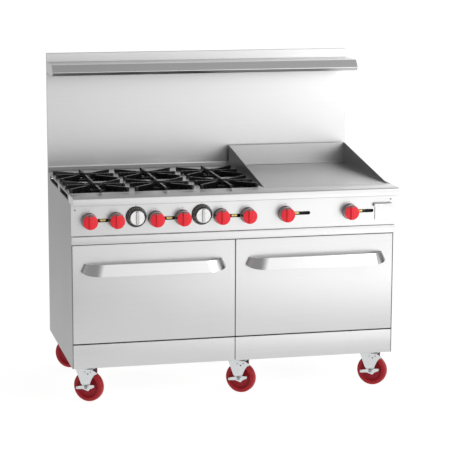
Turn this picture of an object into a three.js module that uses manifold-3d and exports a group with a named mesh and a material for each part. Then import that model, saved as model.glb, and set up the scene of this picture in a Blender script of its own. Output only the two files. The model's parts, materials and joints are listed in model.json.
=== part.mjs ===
// Commercial gas range: six open burners, a griddle, two ovens, a high shelf and six casters.
// Units are millimetres, +Z is up, the front faces -Y and +X is to the right.
// y is written from the front face of the oven doors; the last group centres the whole range.
import * as THREE from 'three';
import { mergeVertices } from 'three/addons/utils/BufferGeometryUtils.js';
import Module from 'manifold-3d';

const wasm = await Module();
wasm.setup();

// ---------------------------------------------------------------- driving dimensions
const HALF_W = 762;            // half of the 60 in width
const GAP = 0.3;               // clearance between pieces that touch
const T = 2;                   // sheet thickness
const LEDGE_FRONT = -69;       // foremost face
const BACK_REAR = 820;         // rearmost face
const BODY_REAR = 785;
const Z_BODY = 173;            // underside of the body
const Z_TOP = 974;             // cooktop height
const Z_LEDGE = 937.8;         // underside of the front ledge
const LEDGE_BACK = 62;
const Z_PANEL = 792.3;         // underside of the control panel
const PANEL_Y = -9;            // front face of the control panel
const DOOR_Z0 = 289, DOOR_Z1 = 748.5, DOOR_D = 46;
const KICK_Z1 = 285;
const TRAY_Z0 = 753, TRAY_Z1 = 791.6;
const OVEN_X0 = 47, OVEN_X1 = 713, OVEN_Z0 = 352, OVEN_Z1 = 706, OVEN_Y0 = 53.4, OVEN_Y1 = 742;
const RACK_Z = 512;            // seat of the oven rack
const BACK_HALF = 757.5, BACK_TOP = 1549, BACK_Y = 800;
const SHELF_Z = 1507, SHELF_Y = 620;
const GRID_X0 = 147.5, GRID_X1 = 748.6, GRID_Y0 = 62.4, GRID_Y1 = 776, GRID_T = 25;
const SPLASH_Z = 1076;
const GRATE_X = [-616, -314, -8];
const GRATE_Y = [222, 536];
const GRATE_TOP = 992, GRATE_HX = 140, GRATE_HY = 153.5;
const RAIL_Z = 976;            // seat of the grates, on top of the cooktop sheet
const WELLS_X = [[-740, -490], [-440, -186], [-136, 122]];  // openings over the burners
const WELLS_Y = [[74, 360], [398, 680]];
const KNOB_X = [-681, -558, -375, -251, -71, 55, 234, 541];
const KNOB_Z = 861.5;
const THERMO_X = [-466, -161], THERMO_Z = 872.5;
const SLOTS = [[-650, -589], [-344, -282], [-40, 24], [250, 353], [557, 659]];
const SLOT_Z = 861;
const VALVE_X = [-618, -312, -8, 287, 594];
const DRAWER_X0 = 661, DRAWER_X1 = 744, DRAWER_Z0 = 816, DRAWER_Z1 = 897;
const PIN_X = [-686, 37, 684];
const PIN_Y = [80.4, 706.4];
const WHEEL_R = 72, WHEEL_W = 40, TRAIL = 11;
const CASTER_TURN = (35.8 * Math.PI) / 180;

// ---------------------------------------------------------------- solid helpers
function solid(geometry) {
  const g = geometry.clone();
  for (const k of Object.keys(g.attributes)) if (k !== 'position') g.deleteAttribute(k);
  // Rounding puts faces that should lie in one plane in exactly one plane.
  const p = g.attributes.position;
  for (let i = 0; i < p.array.length; i++) p.array[i] = Math.round(p.array[i] * 1000) / 1000;
  const m = mergeVertices(g, 1e-4);
  return new wasm.Manifold(new wasm.Mesh({
    numProp: 3,
    vertProperties: new Float32Array(m.attributes.position.array),
    triVerts: new Uint32Array(m.index.array),
  }));
}
function box(x0, x1, y0, y1, z0, z1) {
  const g = new THREE.BoxGeometry(x1 - x0, y1 - y0, z1 - z0);
  g.translate((x0 + x1) / 2, (y0 + y1) / 2, (z0 + z1) / 2);
  return solid(g);
}
function shapeOf(points) {
  return new THREE.Shape(points.map(([a, b]) => new THREE.Vector2(a, b)));
}
function extrude(points, depth) {
  return new THREE.ExtrudeGeometry(shapeOf(points), { depth, bevelEnabled: false, curveSegments: 1 });
}
const AXES = {
  x: [new THREE.Vector3(0, 1, 0), new THREE.Vector3(0, 0, 1), new THREE.Vector3(1, 0, 0)],
  y: [new THREE.Vector3(1, 0, 0), new THREE.Vector3(0, 0, 1), new THREE.Vector3(0, -1, 0)],
  z: [new THREE.Vector3(1, 0, 0), new THREE.Vector3(0, 1, 0), new THREE.Vector3(0, 0, 1)],
};
// A prism whose outline lies across the named axis: (y,z) for x, (x,z) for y, (x,y) for z.
function prism(axis, points, a, b) {
  const g = extrude(points, b - a);
  g.applyMatrix4(new THREE.Matrix4().makeBasis(...AXES[axis]));
  if (axis === 'x') g.translate(a, 0, 0);
  if (axis === 'y') g.translate(0, b, 0);
  if (axis === 'z') g.translate(0, 0, a);
  return solid(g);
}
function cyl(axis, c, r, a, b, seg = 12, r2 = r) {
  const g = new THREE.CylinderGeometry(r2, r, b - a, seg, 1);
  g.translate(0, (a + b) / 2, 0);
  if (axis === 'z') g.rotateX(Math.PI / 2);
  if (axis === 'x') g.rotateZ(-Math.PI / 2);
  if (axis === 'x') g.translate(0, c[0], c[1]);
  if (axis === 'y') g.translate(c[0], 0, c[1]);
  if (axis === 'z') g.translate(c[0], c[1], 0);
  return solid(g);
}
// A turned piece: profile is [radius, height] along the named axis.
function turned(axis, profile, seg, start = 0) {
  const g = new THREE.LatheGeometry(profile.map(([r, h]) => new THREE.Vector2(r, h)), seg, start);
  if (axis === 'z') g.rotateX(Math.PI / 2);
  if (axis === 'x') g.rotateZ(-Math.PI / 2);
  return solid(g);
}
const join = (...list) => list.reduce((a, b) => a.add(b));
const cut = (a, ...list) => list.reduce((s, b) => s.subtract(b), a);
function geometryOf(manifold) {
  const m = manifold.getMesh();
  const g = new THREE.BufferGeometry();
  const n = m.numProp, count = m.vertProperties.length / n;
  const p = new Float32Array(count * 3);
  for (let i = 0; i < count; i++) for (let k = 0; k < 3; k++) p[i * 3 + k] = m.vertProperties[i * n + k];
  g.setAttribute('position', new THREE.BufferAttribute(p, 3));
  g.setIndex(new THREE.BufferAttribute(new Uint32Array(m.triVerts), 1));
  g.computeVertexNormals();
  return g;
}

// ---------------------------------------------------------------- materials
const mat = (color, roughness, metalness) => new THREE.MeshStandardMaterial({ color, roughness, metalness });
const steel = () => mat(0xc4c4c4, 0.34, 1);
const dull = () => mat(0x9a9a9c, 0.5, 1);
const bright = () => mat(0xdadada, 0.12, 1);
const iron = () => mat(0x151515, 0.55, 0.3);
const red = () => mat(0xd23038, 0.4, 0);
const dialWhite = () => mat(0xe9e9e9, 0.3, 0.2);
const zinc = () => mat(0xb9c0c4, 0.4, 0.9);
const wheelRed = () => mat(0x8c1a22, 0.5, 0);
const brassy = () => mat(0xb89a4a, 0.35, 1);
const plateSteel = () => mat(0xaaaaaa, 0.3, 1);

const range = new THREE.Group();
range.position.y = -(LEDGE_FRONT + BACK_REAR) / 2;
function add(name, manifold, material, parent = range) {
  const mesh = new THREE.Mesh(geometryOf(manifold), material);
  mesh.name = name;
  parent.add(mesh);
  return mesh;
}

// ---------------------------------------------------------------- base frame
{
  const parts = [
    box(-756, 756, 25, 779.5, Z_BODY + GAP, Z_BODY + GAP + T),
    box(-756, 756, 777.5, 779.5, Z_BODY + GAP, 205),
    box(-756, -754, 25, 779.5, Z_BODY + GAP, 205),
    box(754, 756, 25, 779.5, Z_BODY + GAP, 205),
    box(-756, 756, 50, 53, Z_BODY + GAP, 750.4),
    box(-1.5, 1.5, 50, 778, Z_BODY + GAP, 750.4),
  ];
  for (const x of PIN_X) for (const y of PIN_Y) parts.push(box(x - 50, x + 50, y - 45, y + 45, 168, Z_BODY + GAP + 1));
  let s = join(...parts);
  for (const k of [-1, 1]) {
    const a = k < 0 ? -OVEN_X1 : OVEN_X0, b = k < 0 ? -OVEN_X0 : OVEN_X1;
    s = cut(s, box(a, b, 45, 58, OVEN_Z0, OVEN_Z1), box(a, b, 45, 58, 205, 275));
  }
  // Cooling openings in the bottom pan under each oven.
  s = cut(s, box(-560, -200, 250, 560, 170, 180), box(200, 560, 250, 560, 170, 180));
  add('base_frame', s, dull());
}

// ---------------------------------------------------------------- side panels
for (const k of [-1, 1]) {
  const outline = [[0, Z_BODY], [BODY_REAR, Z_BODY], [BODY_REAR, Z_TOP], [LEDGE_BACK + GAP, Z_TOP],
    [LEDGE_BACK + GAP, Z_LEDGE - GAP], [0, Z_LEDGE - GAP]];
  let s = prism('x', outline, -HALF_W, -HALF_W + T);
  s = join(s, box(-HALF_W + T, -HALF_W + 14, BODY_REAR - T, BODY_REAR, Z_BODY, 934));
  s = cut(s, box(-HALF_W - 5, -HALF_W + 5, 94, 353, 941, 967), box(-HALF_W - 5, -HALF_W + 5, 421, 691, 941, 967));
  if (k > 0) s = s.mirror([1, 0, 0]);
  add(k < 0 ? 'side_panel_left' : 'side_panel_right', s, steel());
}

// ---------------------------------------------------------------- rear panel
add('rear_panel', cut(
  box(-747.6, 747.6, 780.2, 782.2, Z_BODY + GAP, 934),
  cyl('y', [-724, KNOB_Z], 20, 770, 790, 12),
), dull());

// ---------------------------------------------------------------- ovens
for (const k of [-1, 1]) {
  let s = cut(
    box(OVEN_X0 - T, OVEN_X1 + T, OVEN_Y0, OVEN_Y1 + T, OVEN_Z0 - T, OVEN_Z1 + T),
    box(OVEN_X0, OVEN_X1, OVEN_Y0 - 10, OVEN_Y1, OVEN_Z0, OVEN_Z1),
    box(OVEN_X0 + 130, OVEN_X1 - 130, OVEN_Y1 - 5, OVEN_Y1 + 5, OVEN_Z1 - 32, OVEN_Z1 - 14),
  );
  for (const z of [430, RACK_Z, 594]) {
    s = join(s, box(OVEN_X0 - 1, OVEN_X0 + 10, 80, 730, z - 2, z), box(OVEN_X1 - 10, OVEN_X1 + 1, 80, 730, z - 2, z));
  }
  // Rack: a rod frame with lengthwise rods and a raised rear stop.
  const rx0 = OVEN_X0 + 4, rx1 = OVEN_X1 - 4, rz = RACK_Z + GAP;
  const rods = [
    box(rx0, rx1, 106, 112, rz, rz + 6), box(rx0, rx1, 714, 720, rz, rz + 6), box(rx0, rx1, 408, 414, rz, rz + 6),
    box(rx0, rx0 + 6, 106, 720, rz, rz + 6), box(rx1 - 6, rx1, 106, 720, rz, rz + 6),
  ];
  for (let i = 1; i < 9; i++) {
    const x = rx0 + ((rx1 - rx0) * i) / 9;
    rods.push(box(x - 2, x + 2, 107, 719, rz + 1, rz + 5));
  }
  let r = join(...rods);
  if (k < 0) { s = s.mirror([1, 0, 0]); r = r.mirror([1, 0, 0]); }
  const side = k < 0 ? 'left' : 'right';
  add(`oven_liner_${side}`, s, dull());
  add(`oven_rack_${side}`, r, bright());
}

// ---------------------------------------------------------------- control panel with the grease drawer guide
{
  const px1 = HALF_W, zt = Z_LEDGE - GAP;
  let s = join(
    box(-px1, px1, PANEL_Y, PANEL_Y + T, Z_PANEL, zt),
    box(-px1 + 2.4, px1 - 2.4, PANEL_Y + 1, 40, zt - T, zt),
    box(-px1 + 2.4, px1 - 2.4, PANEL_Y + 1, 40, Z_PANEL, Z_PANEL + T),
    box(-px1, -px1 + T, PANEL_Y, -GAP, Z_PANEL, zt),
    box(px1 - T, px1, PANEL_Y, -GAP, Z_PANEL, zt),
  );
  s = cut(s, box(DRAWER_X0 + 6, DRAWER_X1 - 4.5, -20, 0, 820, 891));
  s = join(s,
    box(664.5, 742, PANEL_Y + 1, 340, 817, 819),
    box(664.5, 666.5, PANEL_Y + 1, 340, 817, 893),
    box(740, 742, PANEL_Y + 1, 340, 817, 893));
  for (const x of KNOB_X) s = cut(s, cyl('y', [x, KNOB_Z], 10, -20, 0, 8));
  for (const x of THERMO_X) s = cut(s, cyl('y', [x, THERMO_Z], 10, -20, 0, 8));
  for (const [a, b] of SLOTS) {
    const r = 8;
    s = cut(s, join(box(a + r, b - r, -20, 0, SLOT_Z - r, SLOT_Z + r),
      cyl('y', [a + r, SLOT_Z], r, -20, 0, 8), cyl('y', [b - r, SLOT_Z], r, -20, 0, 8)));
  }
  add('control_panel', s, steel());
}

// ---------------------------------------------------------------- kick panels
for (const k of [-1, 1]) {
  const a = 1.5, b = 758.5;
  let s = cut(box(a, b, 0, 20, Z_BODY + GAP, KICK_Z1), box(a + T, b - T, T, 30, Z_BODY + GAP + T, KICK_Z1 - T));
  if (k < 0) s = s.mirror([1, 0, 0]);
  add(k < 0 ? 'kick_panel_left' : 'kick_panel_right', s, steel());
}

// ---------------------------------------------------------------- burner deck: ledge and cooktop sheet
{
  const r = 8, arc = (cx, cz, rad) => {
    const p = [];
    for (let i = 0; i <= 2; i++) {
      const a = Math.PI - (i / 2) * (Math.PI / 2);
      p.push([cx + rad * Math.cos(a), cz + rad * Math.sin(a)]);
    }
    return p;
  };
  const ledge = [
    [-10, Z_LEDGE], [LEDGE_FRONT, Z_LEDGE], ...arc(LEDGE_FRONT + r, Z_TOP - r, r), [LEDGE_BACK, Z_TOP],
    [LEDGE_BACK, 941], [LEDGE_BACK - T, 941], [LEDGE_BACK - T, Z_TOP - T],
    ...arc(LEDGE_FRONT + r, Z_TOP - r, r - T).reverse(), [LEDGE_FRONT + T, Z_LEDGE + T], [-10, Z_LEDGE + T],
  ];
  const cap = [[LEDGE_FRONT, Z_LEDGE], ...arc(LEDGE_FRONT + r, Z_TOP - r, r), [LEDGE_BACK, Z_TOP], [LEDGE_BACK, Z_LEDGE]];
  const x0 = -HALF_W + T + GAP, xg = GRID_X0 - GAP - 1, ye = BODY_REAR - GAP;
  // cooktop sheet with an opening over each burner, stiffened below
  let sheet = box(x0 + 0.8, xg - 0.3, LEDGE_BACK - 0.9, ye - 0.7, RAIL_Z - 2.5, RAIL_Z - 0.5);
  for (const [xa, xb] of WELLS_X) for (const [ya, yb] of WELLS_Y) sheet = cut(sheet, box(xa, xb, ya, yb, RAIL_Z - 10, RAIL_Z + 10));
  const parts = [
    prism('x', ledge.slice().reverse(), -HALF_W + 1, HALF_W - 1),
    prism('x', cap.map(([y, z]) => [y, z]).reverse(), -HALF_W, -HALF_W + T - 0.4),
    prism('x', cap.map(([y, z]) => [y, z]).reverse(), HALF_W - T + 0.4, HALF_W),
    sheet,
    // front seat strip under the griddle, with room for the grease chute
    box(x0 + 0.6, 676, LEDGE_BACK - T + 0.7, LEDGE_BACK + 16, 942, 944), box(734, -x0 - 0.6, LEDGE_BACK - T + 0.7, LEDGE_BACK + 16, 942, 944),
    // left and right rims
    box(x0, x0 + T, LEDGE_BACK - 0.8, ye, 967.6, Z_TOP + 2), box(-x0 - T, -x0, LEDGE_BACK - 0.8, ye, 967.6, Z_TOP + 2),
    box(x0 + 0.3, x0 + T + 1, LEDGE_BACK - 0.5, 92, 935, 970), box(-x0 - T - 1, -x0 - 0.3, LEDGE_BACK - 0.5, 92, 935, 970),
    box(x0 + 0.3, x0 + T + 1, 692, ye - 0.5, 935, 970), box(-x0 - T - 1, -x0 - 0.3, 692, ye - 0.5, 935, 970),
    // ribs under the sheet, between the columns and between the rows
    box(-466, -464, LEDGE_BACK + 1, ye - 1.2, 937, RAIL_Z - 1.5), box(-162, -160, LEDGE_BACK + 1.3, ye - 1, 937.5, RAIL_Z - 1.2),
    box(x0 + 1.3, xg - 1.3, 378, 380, 938, RAIL_Z - 1),
    box(x0 + 1.4, -x0 - 1.4, ye - 2.4, ye - 0.3, 938.5, Z_TOP - 0.5), box(xg - 1.6, -x0 - 1.2, 720, ye - 1.1, 941, 943),
    box(xg - T, xg, LEDGE_BACK + 0.7, ye - 1.4, 939, RAIL_Z - 0.8),
    box(GRID_X1 + GAP, -x0 - 0.9, LEDGE_BACK - 1.1, ye - 1.3, Z_TOP - 2.3, Z_TOP - 0.3),
    box(GRID_X0 - 4, GRID_X1 + 3, GRID_Y1 + GAP, ye - 1.5, Z_TOP - 2.6, Z_TOP - 0.6),
  ];
  add('burner_deck', join(...parts), steel());
}

// ---------------------------------------------------------------- back riser
{
  const y0 = BODY_REAR + 1.3;
  const outer = [[y0, 966], [BACK_REAR, 966], [BACK_REAR, BACK_TOP], [BACK_Y, BACK_TOP], [BACK_Y, 990], [y0, 974.4]];
  const inner = [[y0 + T, 960], [BACK_REAR - T, 960], [BACK_REAR - T, BACK_TOP - T], [BACK_Y + T, BACK_TOP - T], [BACK_Y + T, 989.2], [y0 + T, 973.6]];
  add('back_riser', cut(prism('x', outer, -BACK_HALF, BACK_HALF), prism('x', inner, -BACK_HALF + T, BACK_HALF - T)), steel());
}

// ---------------------------------------------------------------- high shelf
{
  const yb = BACK_Y - GAP, w = 757;
  const end = [[SHELF_Y, SHELF_Z], [590, 1472], [602, 1456], [yb, 1456], [yb, SHELF_Z]].reverse();
  const inner = [[SHELF_Y + 1, SHELF_Z - T], [592.6, 1472.1], [603.8, 1457.2], [603.8, 1450], [yb - T, 1450], [yb - T, SHELF_Z - T]].reverse();
  add('high_shelf', cut(prism('x', end, -w, w), prism('x', inner, -w + T, w - T)), steel());
}

// ---------------------------------------------------------------- gas manifold with valves and the rear inlet
{
  let s = join(cyl('x', [26, KNOB_Z], 15, -725, 620, 8), cyl('y', [-724, KNOB_Z], 15, 11.5, 815, 8));
  for (const x of KNOB_X) s = join(s, cyl('y', [x, KNOB_Z], 8, -6, 20, 6), cyl('y', [x, KNOB_Z], 4, -30, 0, 6));
  for (const x of THERMO_X) s = join(s, box(x - 18, x + 18, 8, 50, 850, 896), cyl('y', [x, THERMO_Z], 4, -28, 12, 6));
  for (const x of VALVE_X) s = join(s, box(x - 15, x + 15, -6.4, 16, SLOT_Z - 5, SLOT_Z + 5));
  add('gas_manifold', s, brassy());
}

// ---------------------------------------------------------------- griddle
{
  const wedge = [[GRID_Y0, Z_TOP - 1], [GRID_Y1, Z_TOP - 1], [GRID_Y1, SPLASH_Z], [GRID_Y0 + 3, Z_TOP + 1], [GRID_Y0, Z_TOP + 1]];
  let s = join(
    box(GRID_X0, GRID_X1, GRID_Y0, GRID_Y1, Z_TOP - GRID_T, Z_TOP),
    prism('x', wedge, GRID_X0, GRID_X0 + 3), prism('x', wedge, GRID_X1 - 3, GRID_X1),
    box(GRID_X0, GRID_X1, GRID_Y1 - 3, GRID_Y1, Z_TOP - 1, SPLASH_Z),
    box(680, 730, 64, 96, 896, 950),
  );
  // Grease runs off through a notch in the front edge and down a short chute to the drawer.
  s = cut(s, box(682, 728, 66, 94, 880, 960), box(684, 726, 50, GRID_Y0 + 8, 940, 990));
  add('griddle', s, plateSteel());
}

// ---------------------------------------------------------------- open burners
GRATE_X.forEach((cx, i) => GRATE_Y.forEach((cy, j) => {
  const head = turned('z', [[0, 884], [16, 884], [16, 918], [45, 930], [45, 941], [38, 948], [0, 948]], 12);
  const dx = j ? 34 : -16, r = 11;
  let s = join(head.translate([cx, cy, 0]), cyl('y', [cx + dx, 884], r, 62, cy + (j ? 14 : 4), 6));
  s = join(s, cyl('y', [cx + dx, 884], 17, 56, 84, 6));
  s = join(s, box(Math.min(cx, cx + dx) - 2, Math.max(cx, cx + dx) + 2, cy - 9, cy + 9, 878, 892));
  add(`burner_${j ? 'rear' : 'front'}_${i + 1}`, s, iron());
}));

// ---------------------------------------------------------------- grates: eight arms and a low ring
// Four arms meet at the hub, the four between them stop at the ring.
GRATE_X.forEach((cx, i) => GRATE_Y.forEach((cy, j) => {
  const z0 = RAIL_Z + GAP, parts = [];
  const ring = (r0, r1, za, zb, seg) => cut(cyl('z', [0, 0], r1, za, zb, seg), cyl('z', [0, 0], r0, za - 2, zb + 2, seg));
  for (let k = 0; k < 8; k++) {
    const a = (k * Math.PI) / 4;
    const len = k % 2 ? Math.hypot(GRATE_HX - 4, 126) : k % 4 ? GRATE_HY : GRATE_HX;
    const ang = k % 2 ? Math.atan2(126 * Math.sign(Math.sin(a)), (GRATE_HX - 4) * Math.sign(Math.cos(a))) : a;
    const foot = !j && k === 6 ? 10 : 0;
    const r0 = k % 2 ? 58 : 25, low = k % 2 ? 138 : 98;
    const arm = prism('y', [[r0, z0 - 13], [low, z0 - 13], [low + 20, z0], [len + foot, z0], [len + foot, GRATE_TOP], [r0, GRATE_TOP]], -5, 5);
    parts.push(arm.rotate([0, 0, (ang * 180) / Math.PI]));
  }
  parts.push(ring(60, 68, z0 - 12, z0 - 2, 8));
  const s = join(...parts);
  add(`grate_${j ? 'rear' : 'front'}_${i + 1}`, s.translate([cx, cy, 0]), iron());
}));

// ---------------------------------------------------------------- knobs
KNOB_X.forEach((x, i) => {
  const y = PANEL_Y - 0.6;
  let s = turned('y', [[0, y], [36.8, y], [33.4, y - 12], [33.4, y - 48], [0, y - 48]].reverse(), 16).translate([x, 0, KNOB_Z]);
  s = join(s, box(x - 6, x + 6, y - 56, y - 40, KNOB_Z - 30, KNOB_Z + 30));
  s = cut(s, cyl('y', [x, KNOB_Z], 4.8, -33, 0, 6));
  add(`gas_knob_${i + 1}`, s, red());
});
THERMO_X.forEach((x, i) => {
  const y = PANEL_Y - 0.6;
  let s = turned('y', [[0, y], [48, y], [44, y - 8], [36, y - 9], [34, y - 38], [0, y - 38]].reverse(), 18).translate([x, 0, THERMO_Z]);
  s = join(s, box(x - 6, x + 6, y - 44, y - 30, THERMO_Z - 31, THERMO_Z + 31));
  s = cut(s, cyl('y', [x, THERMO_Z], 4.8, -31, 0, 6));
  add(`thermostat_knob_${i ? 'right' : 'left'}`, s, dialWhite());
});

// ---------------------------------------------------------------- oven doors and their handles
for (const k of [-1, 1]) {
  const side = k < 0 ? 'left' : 'right';
  const a = 1.5, b = 758.5, e = 4;
  // The lower front edge is rounded, so it clears the kick panel as the door drops.
  const outline = [[e, DOOR_Z0], [DOOR_D, DOOR_Z0], [DOOR_D, DOOR_Z1], [0, DOOR_Z1], [0, DOOR_Z0 + e], [1.2, DOOR_Z0 + 1.2]];
  let door = cut(prism('x', outline, a, b), box(a + T, b - T, T, DOOR_D - T, DOOR_Z0 + T, DOOR_Z1 - T));
  for (const x of [120, 340, 560]) door = cut(door, box(x, x + 80, 18, 30, DOOR_Z0 - 5, DOOR_Z0 + 5));
  if (k < 0) door = door.mirror([1, 0, 0]);
  add(`oven_door_${side}`, door, steel());

  // Handle: a bent band, wider and deeper at its lower edge.
  const cx = 384, z0 = 611, z1 = 664, tb = 3, seg = 6;
  const loop = (hw, d, r, ry = d - 2) => {
    const p = [[-hw, 0]];
    for (let i = 0; i <= seg; i++) { const t = Math.PI + (i / seg) * (Math.PI / 2); p.push([-hw + r + r * Math.cos(t), -d + ry + ry * Math.sin(t)]); }
    for (let i = 0; i <= seg; i++) { const t = 1.5 * Math.PI + (i / seg) * (Math.PI / 2); p.push([hw - r + r * Math.cos(t), -d + ry + ry * Math.sin(t)]); }
    p.push([hw, 0]);
    return p;
  };
  const outer = loop(337, 66, 88), inner = loop(337 - tb, 66 - tb, 88 - tb);
  const g = extrude([...outer, ...inner.reverse()], z1 - z0);
  const pos = g.attributes.position;
  for (let i = 0; i < pos.count; i++) {
    const t = pos.getZ(i) / (z1 - z0);
    pos.setXYZ(i, pos.getX(i) * (1 - t * (15 / 337)) + cx, pos.getY(i) * (1 - t * 0.24) - GAP, pos.getZ(i) + z0);
  }
  let handle = join(solid(g),
    box(cx - 337, cx - 295, -GAP - 3, -GAP, z0 + 4, z1 - 6), box(cx + 295, cx + 337, -GAP - 3, -GAP, z0 + 4, z1 - 6));
  if (k < 0) handle = handle.mirror([1, 0, 0]);
  add(`door_handle_${side}`, handle, bright());
}

// ---------------------------------------------------------------- crumb tray across the full width
{
  const w = 755, y1 = 700, z0 = TRAY_Z0;
  const front = [[-14, z0], [-3, z0], [-3, TRAY_Z1], [-13, TRAY_Z1], [-17, TRAY_Z1 - 4], [-17, z0 + 3]].reverse();
  let s = cut(box(-w, w, -4, y1, z0 + 1, 776), box(-w + T, w - T, -2, y1 - T, z0 + 1 + T, 800));
  s = join(s, prism('x', front, -HALF_W, HALF_W));
  add('crumb_tray', s, steel());
}

// ---------------------------------------------------------------- grease drawer
{
  const lip = [[-14, 878], [-11, 878], [-11, DRAWER_Z1], [-24, DRAWER_Z1 - 1], [-28, DRAWER_Z1 - 5], [-28, 879], [-25, 879], [-25, DRAWER_Z1 - 6], [-23, DRAWER_Z1 - 4], [-14, DRAWER_Z1 - 3]].reverse();
  let s = cut(box(669, 737.5, -12, 325, 821.5, 886), box(671, 735.5, -10, 323, 823.5, 900));
  s = join(s, box(665.4, 742.6, -14, -PANEL_Y * -1 - 0.6, 817.5, 893), prism('x', lip, 658.5, DRAWER_X1));
  add('grease_drawer', s, steel());
}

// ---------------------------------------------------------------- casters
PIN_Y.forEach((py, j) => PIN_X.forEach((px, i) => {
  const caster = new THREE.Group();
  caster.position.set(px, py, 0);
  // Local x runs along the axle, local y along the trail; the axle's outboard end is at -x.
  caster.rotation.z = Math.PI / 2 - CASTER_TURN;
  range.add(caster);
  const tag = `${j ? 'rear' : 'front'}_${i + 1}`;
  // Each leg widens upwards and spreads to one side over the wheel.
  const leg = [[-42, 159.5], [42, 159.5], [18, 88], [-2, 60], [-20, 60], [-30, 88], [-40, 112], [-54, 133], [-68, 143]].reverse();
  let fork = join(
    cyl('z', [0, 0], 38, 158, 167.6, 10),
    box(-30, 30, -42, 42, 156, 160),
    prism('x', leg, -30, -27), prism('x', leg, 27, 30),
    cyl('x', [-TRAIL, WHEEL_R], 6, -36, 36, 8),
  );
  add(`caster_fork_${tag}`, fork, zinc(), caster);
  // The rolling face is a 20-sided ring that stands on a flat, its flats WHEEL_R from the axle.
  const h = WHEEL_W / 2, seg = 20, R = WHEEL_R / Math.cos(Math.PI / seg);
  let wheel = turned('x', [[7, -h - 5], [18, -h - 5], [20, -h + 7], [46, -h + 7], [54, -h], [R, -9], [R, 9], [54, h], [46, h - 7], [20, h - 7], [18, h + 5], [7, h + 5], [7, -h - 5]], seg, Math.PI / seg);
  add(`caster_wheel_${tag}`, wheel.translate([0, -TRAIL, WHEEL_R]), wheelRed(), caster);
  if (!j) {
    // Two-ended brake pedal that rocks on the axle bolt.
    const y = -TRAIL, z = WHEEL_R;
    const pedal = [[y - 45, z + 15], [y - 43, z + 3], [y - 22, z - 6], [y - 12, z - 16], [y - 3, z - 15], [y + 14, z - 9], [y + 47, z - 13], [y + 51, z - 1], [y + 14, z + 7], [y - 6, z + 12], [y - 24, z + 13]];
    let lever = cut(prism('x', pedal, -33.6, -30.6), cyl('x', [y, z], 6.6, -40, -20, 8));
    add(`brake_pedal_${tag}`, lever, zinc(), caster);
  }
}));

export default range;
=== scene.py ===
"""Looks of a commercial gas range: brushed stainless sheet, cast iron grates, red knobs and casters.

Every length below is in millimetres. x is across the range, y runs back from the front face of
the oven doors and z is up from the floor. pt() turns such a point into the row frame in metres.
"""

import json
import math

import bmesh
import bpy
from mathutils import Matrix, Vector
from mathutils.geometry import tessellate_polygon


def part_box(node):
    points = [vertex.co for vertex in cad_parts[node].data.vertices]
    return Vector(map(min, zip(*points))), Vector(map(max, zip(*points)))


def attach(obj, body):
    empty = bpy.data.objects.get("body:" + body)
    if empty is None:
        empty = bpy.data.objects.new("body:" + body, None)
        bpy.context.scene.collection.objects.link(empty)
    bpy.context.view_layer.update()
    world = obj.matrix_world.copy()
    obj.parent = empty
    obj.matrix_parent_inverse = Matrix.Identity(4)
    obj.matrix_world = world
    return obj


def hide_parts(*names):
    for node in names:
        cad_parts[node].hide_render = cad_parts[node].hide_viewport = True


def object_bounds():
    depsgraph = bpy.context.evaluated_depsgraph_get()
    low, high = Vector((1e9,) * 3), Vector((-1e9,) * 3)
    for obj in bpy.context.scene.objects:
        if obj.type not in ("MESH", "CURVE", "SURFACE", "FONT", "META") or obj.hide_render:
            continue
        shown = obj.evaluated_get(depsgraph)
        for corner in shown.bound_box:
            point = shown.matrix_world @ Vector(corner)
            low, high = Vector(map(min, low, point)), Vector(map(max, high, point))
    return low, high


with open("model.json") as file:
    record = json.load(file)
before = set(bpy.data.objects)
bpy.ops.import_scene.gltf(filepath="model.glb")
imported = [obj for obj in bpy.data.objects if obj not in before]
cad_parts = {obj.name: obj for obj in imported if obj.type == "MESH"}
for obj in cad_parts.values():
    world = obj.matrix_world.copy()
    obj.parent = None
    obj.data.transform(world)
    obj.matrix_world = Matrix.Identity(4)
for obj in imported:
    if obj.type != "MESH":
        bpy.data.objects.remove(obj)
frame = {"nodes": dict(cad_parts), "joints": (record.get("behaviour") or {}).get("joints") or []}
CAD_LO, CAD_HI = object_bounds()
Y0 = CAD_LO.y * 1000 + 69  # row-frame y of the door faces, in mm


def pt(x, y, z):
    return (x / 1000, (y + Y0) / 1000, z / 1000)


def nb(node):
    """(x0, x1, y0, y1, z0, z1) of a CAD node in the millimetre frame."""
    lo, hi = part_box(node)
    return (
        lo.x * 1000,
        hi.x * 1000,
        lo.y * 1000 - Y0,
        hi.y * 1000 - Y0,
        lo.z * 1000,
        hi.z * 1000,
    )


def mid(node):
    x0, x1, y0, y1, z0, z1 = nb(node)
    return (x0 + x1) / 2, (y0 + y1) / 2, (z0 + z1) / 2


HALF_W = CAD_HI.x * 1000
TOP = CAD_HI.z * 1000
REAR = CAD_HI.y * 1000 - Y0
DECK = nb("burner_deck")
SIDE = nb("side_panel_left")
PANEL = nb("control_panel")
TRAY = nb("crumb_tray")
GRID = nb("griddle")
DRAWER = nb("grease_drawer")
RISER = nb("back_riser")
SHELF = nb("high_shelf")
Z_TOP = SIDE[5]

# ------------------------------------------------------------------ materials


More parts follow.
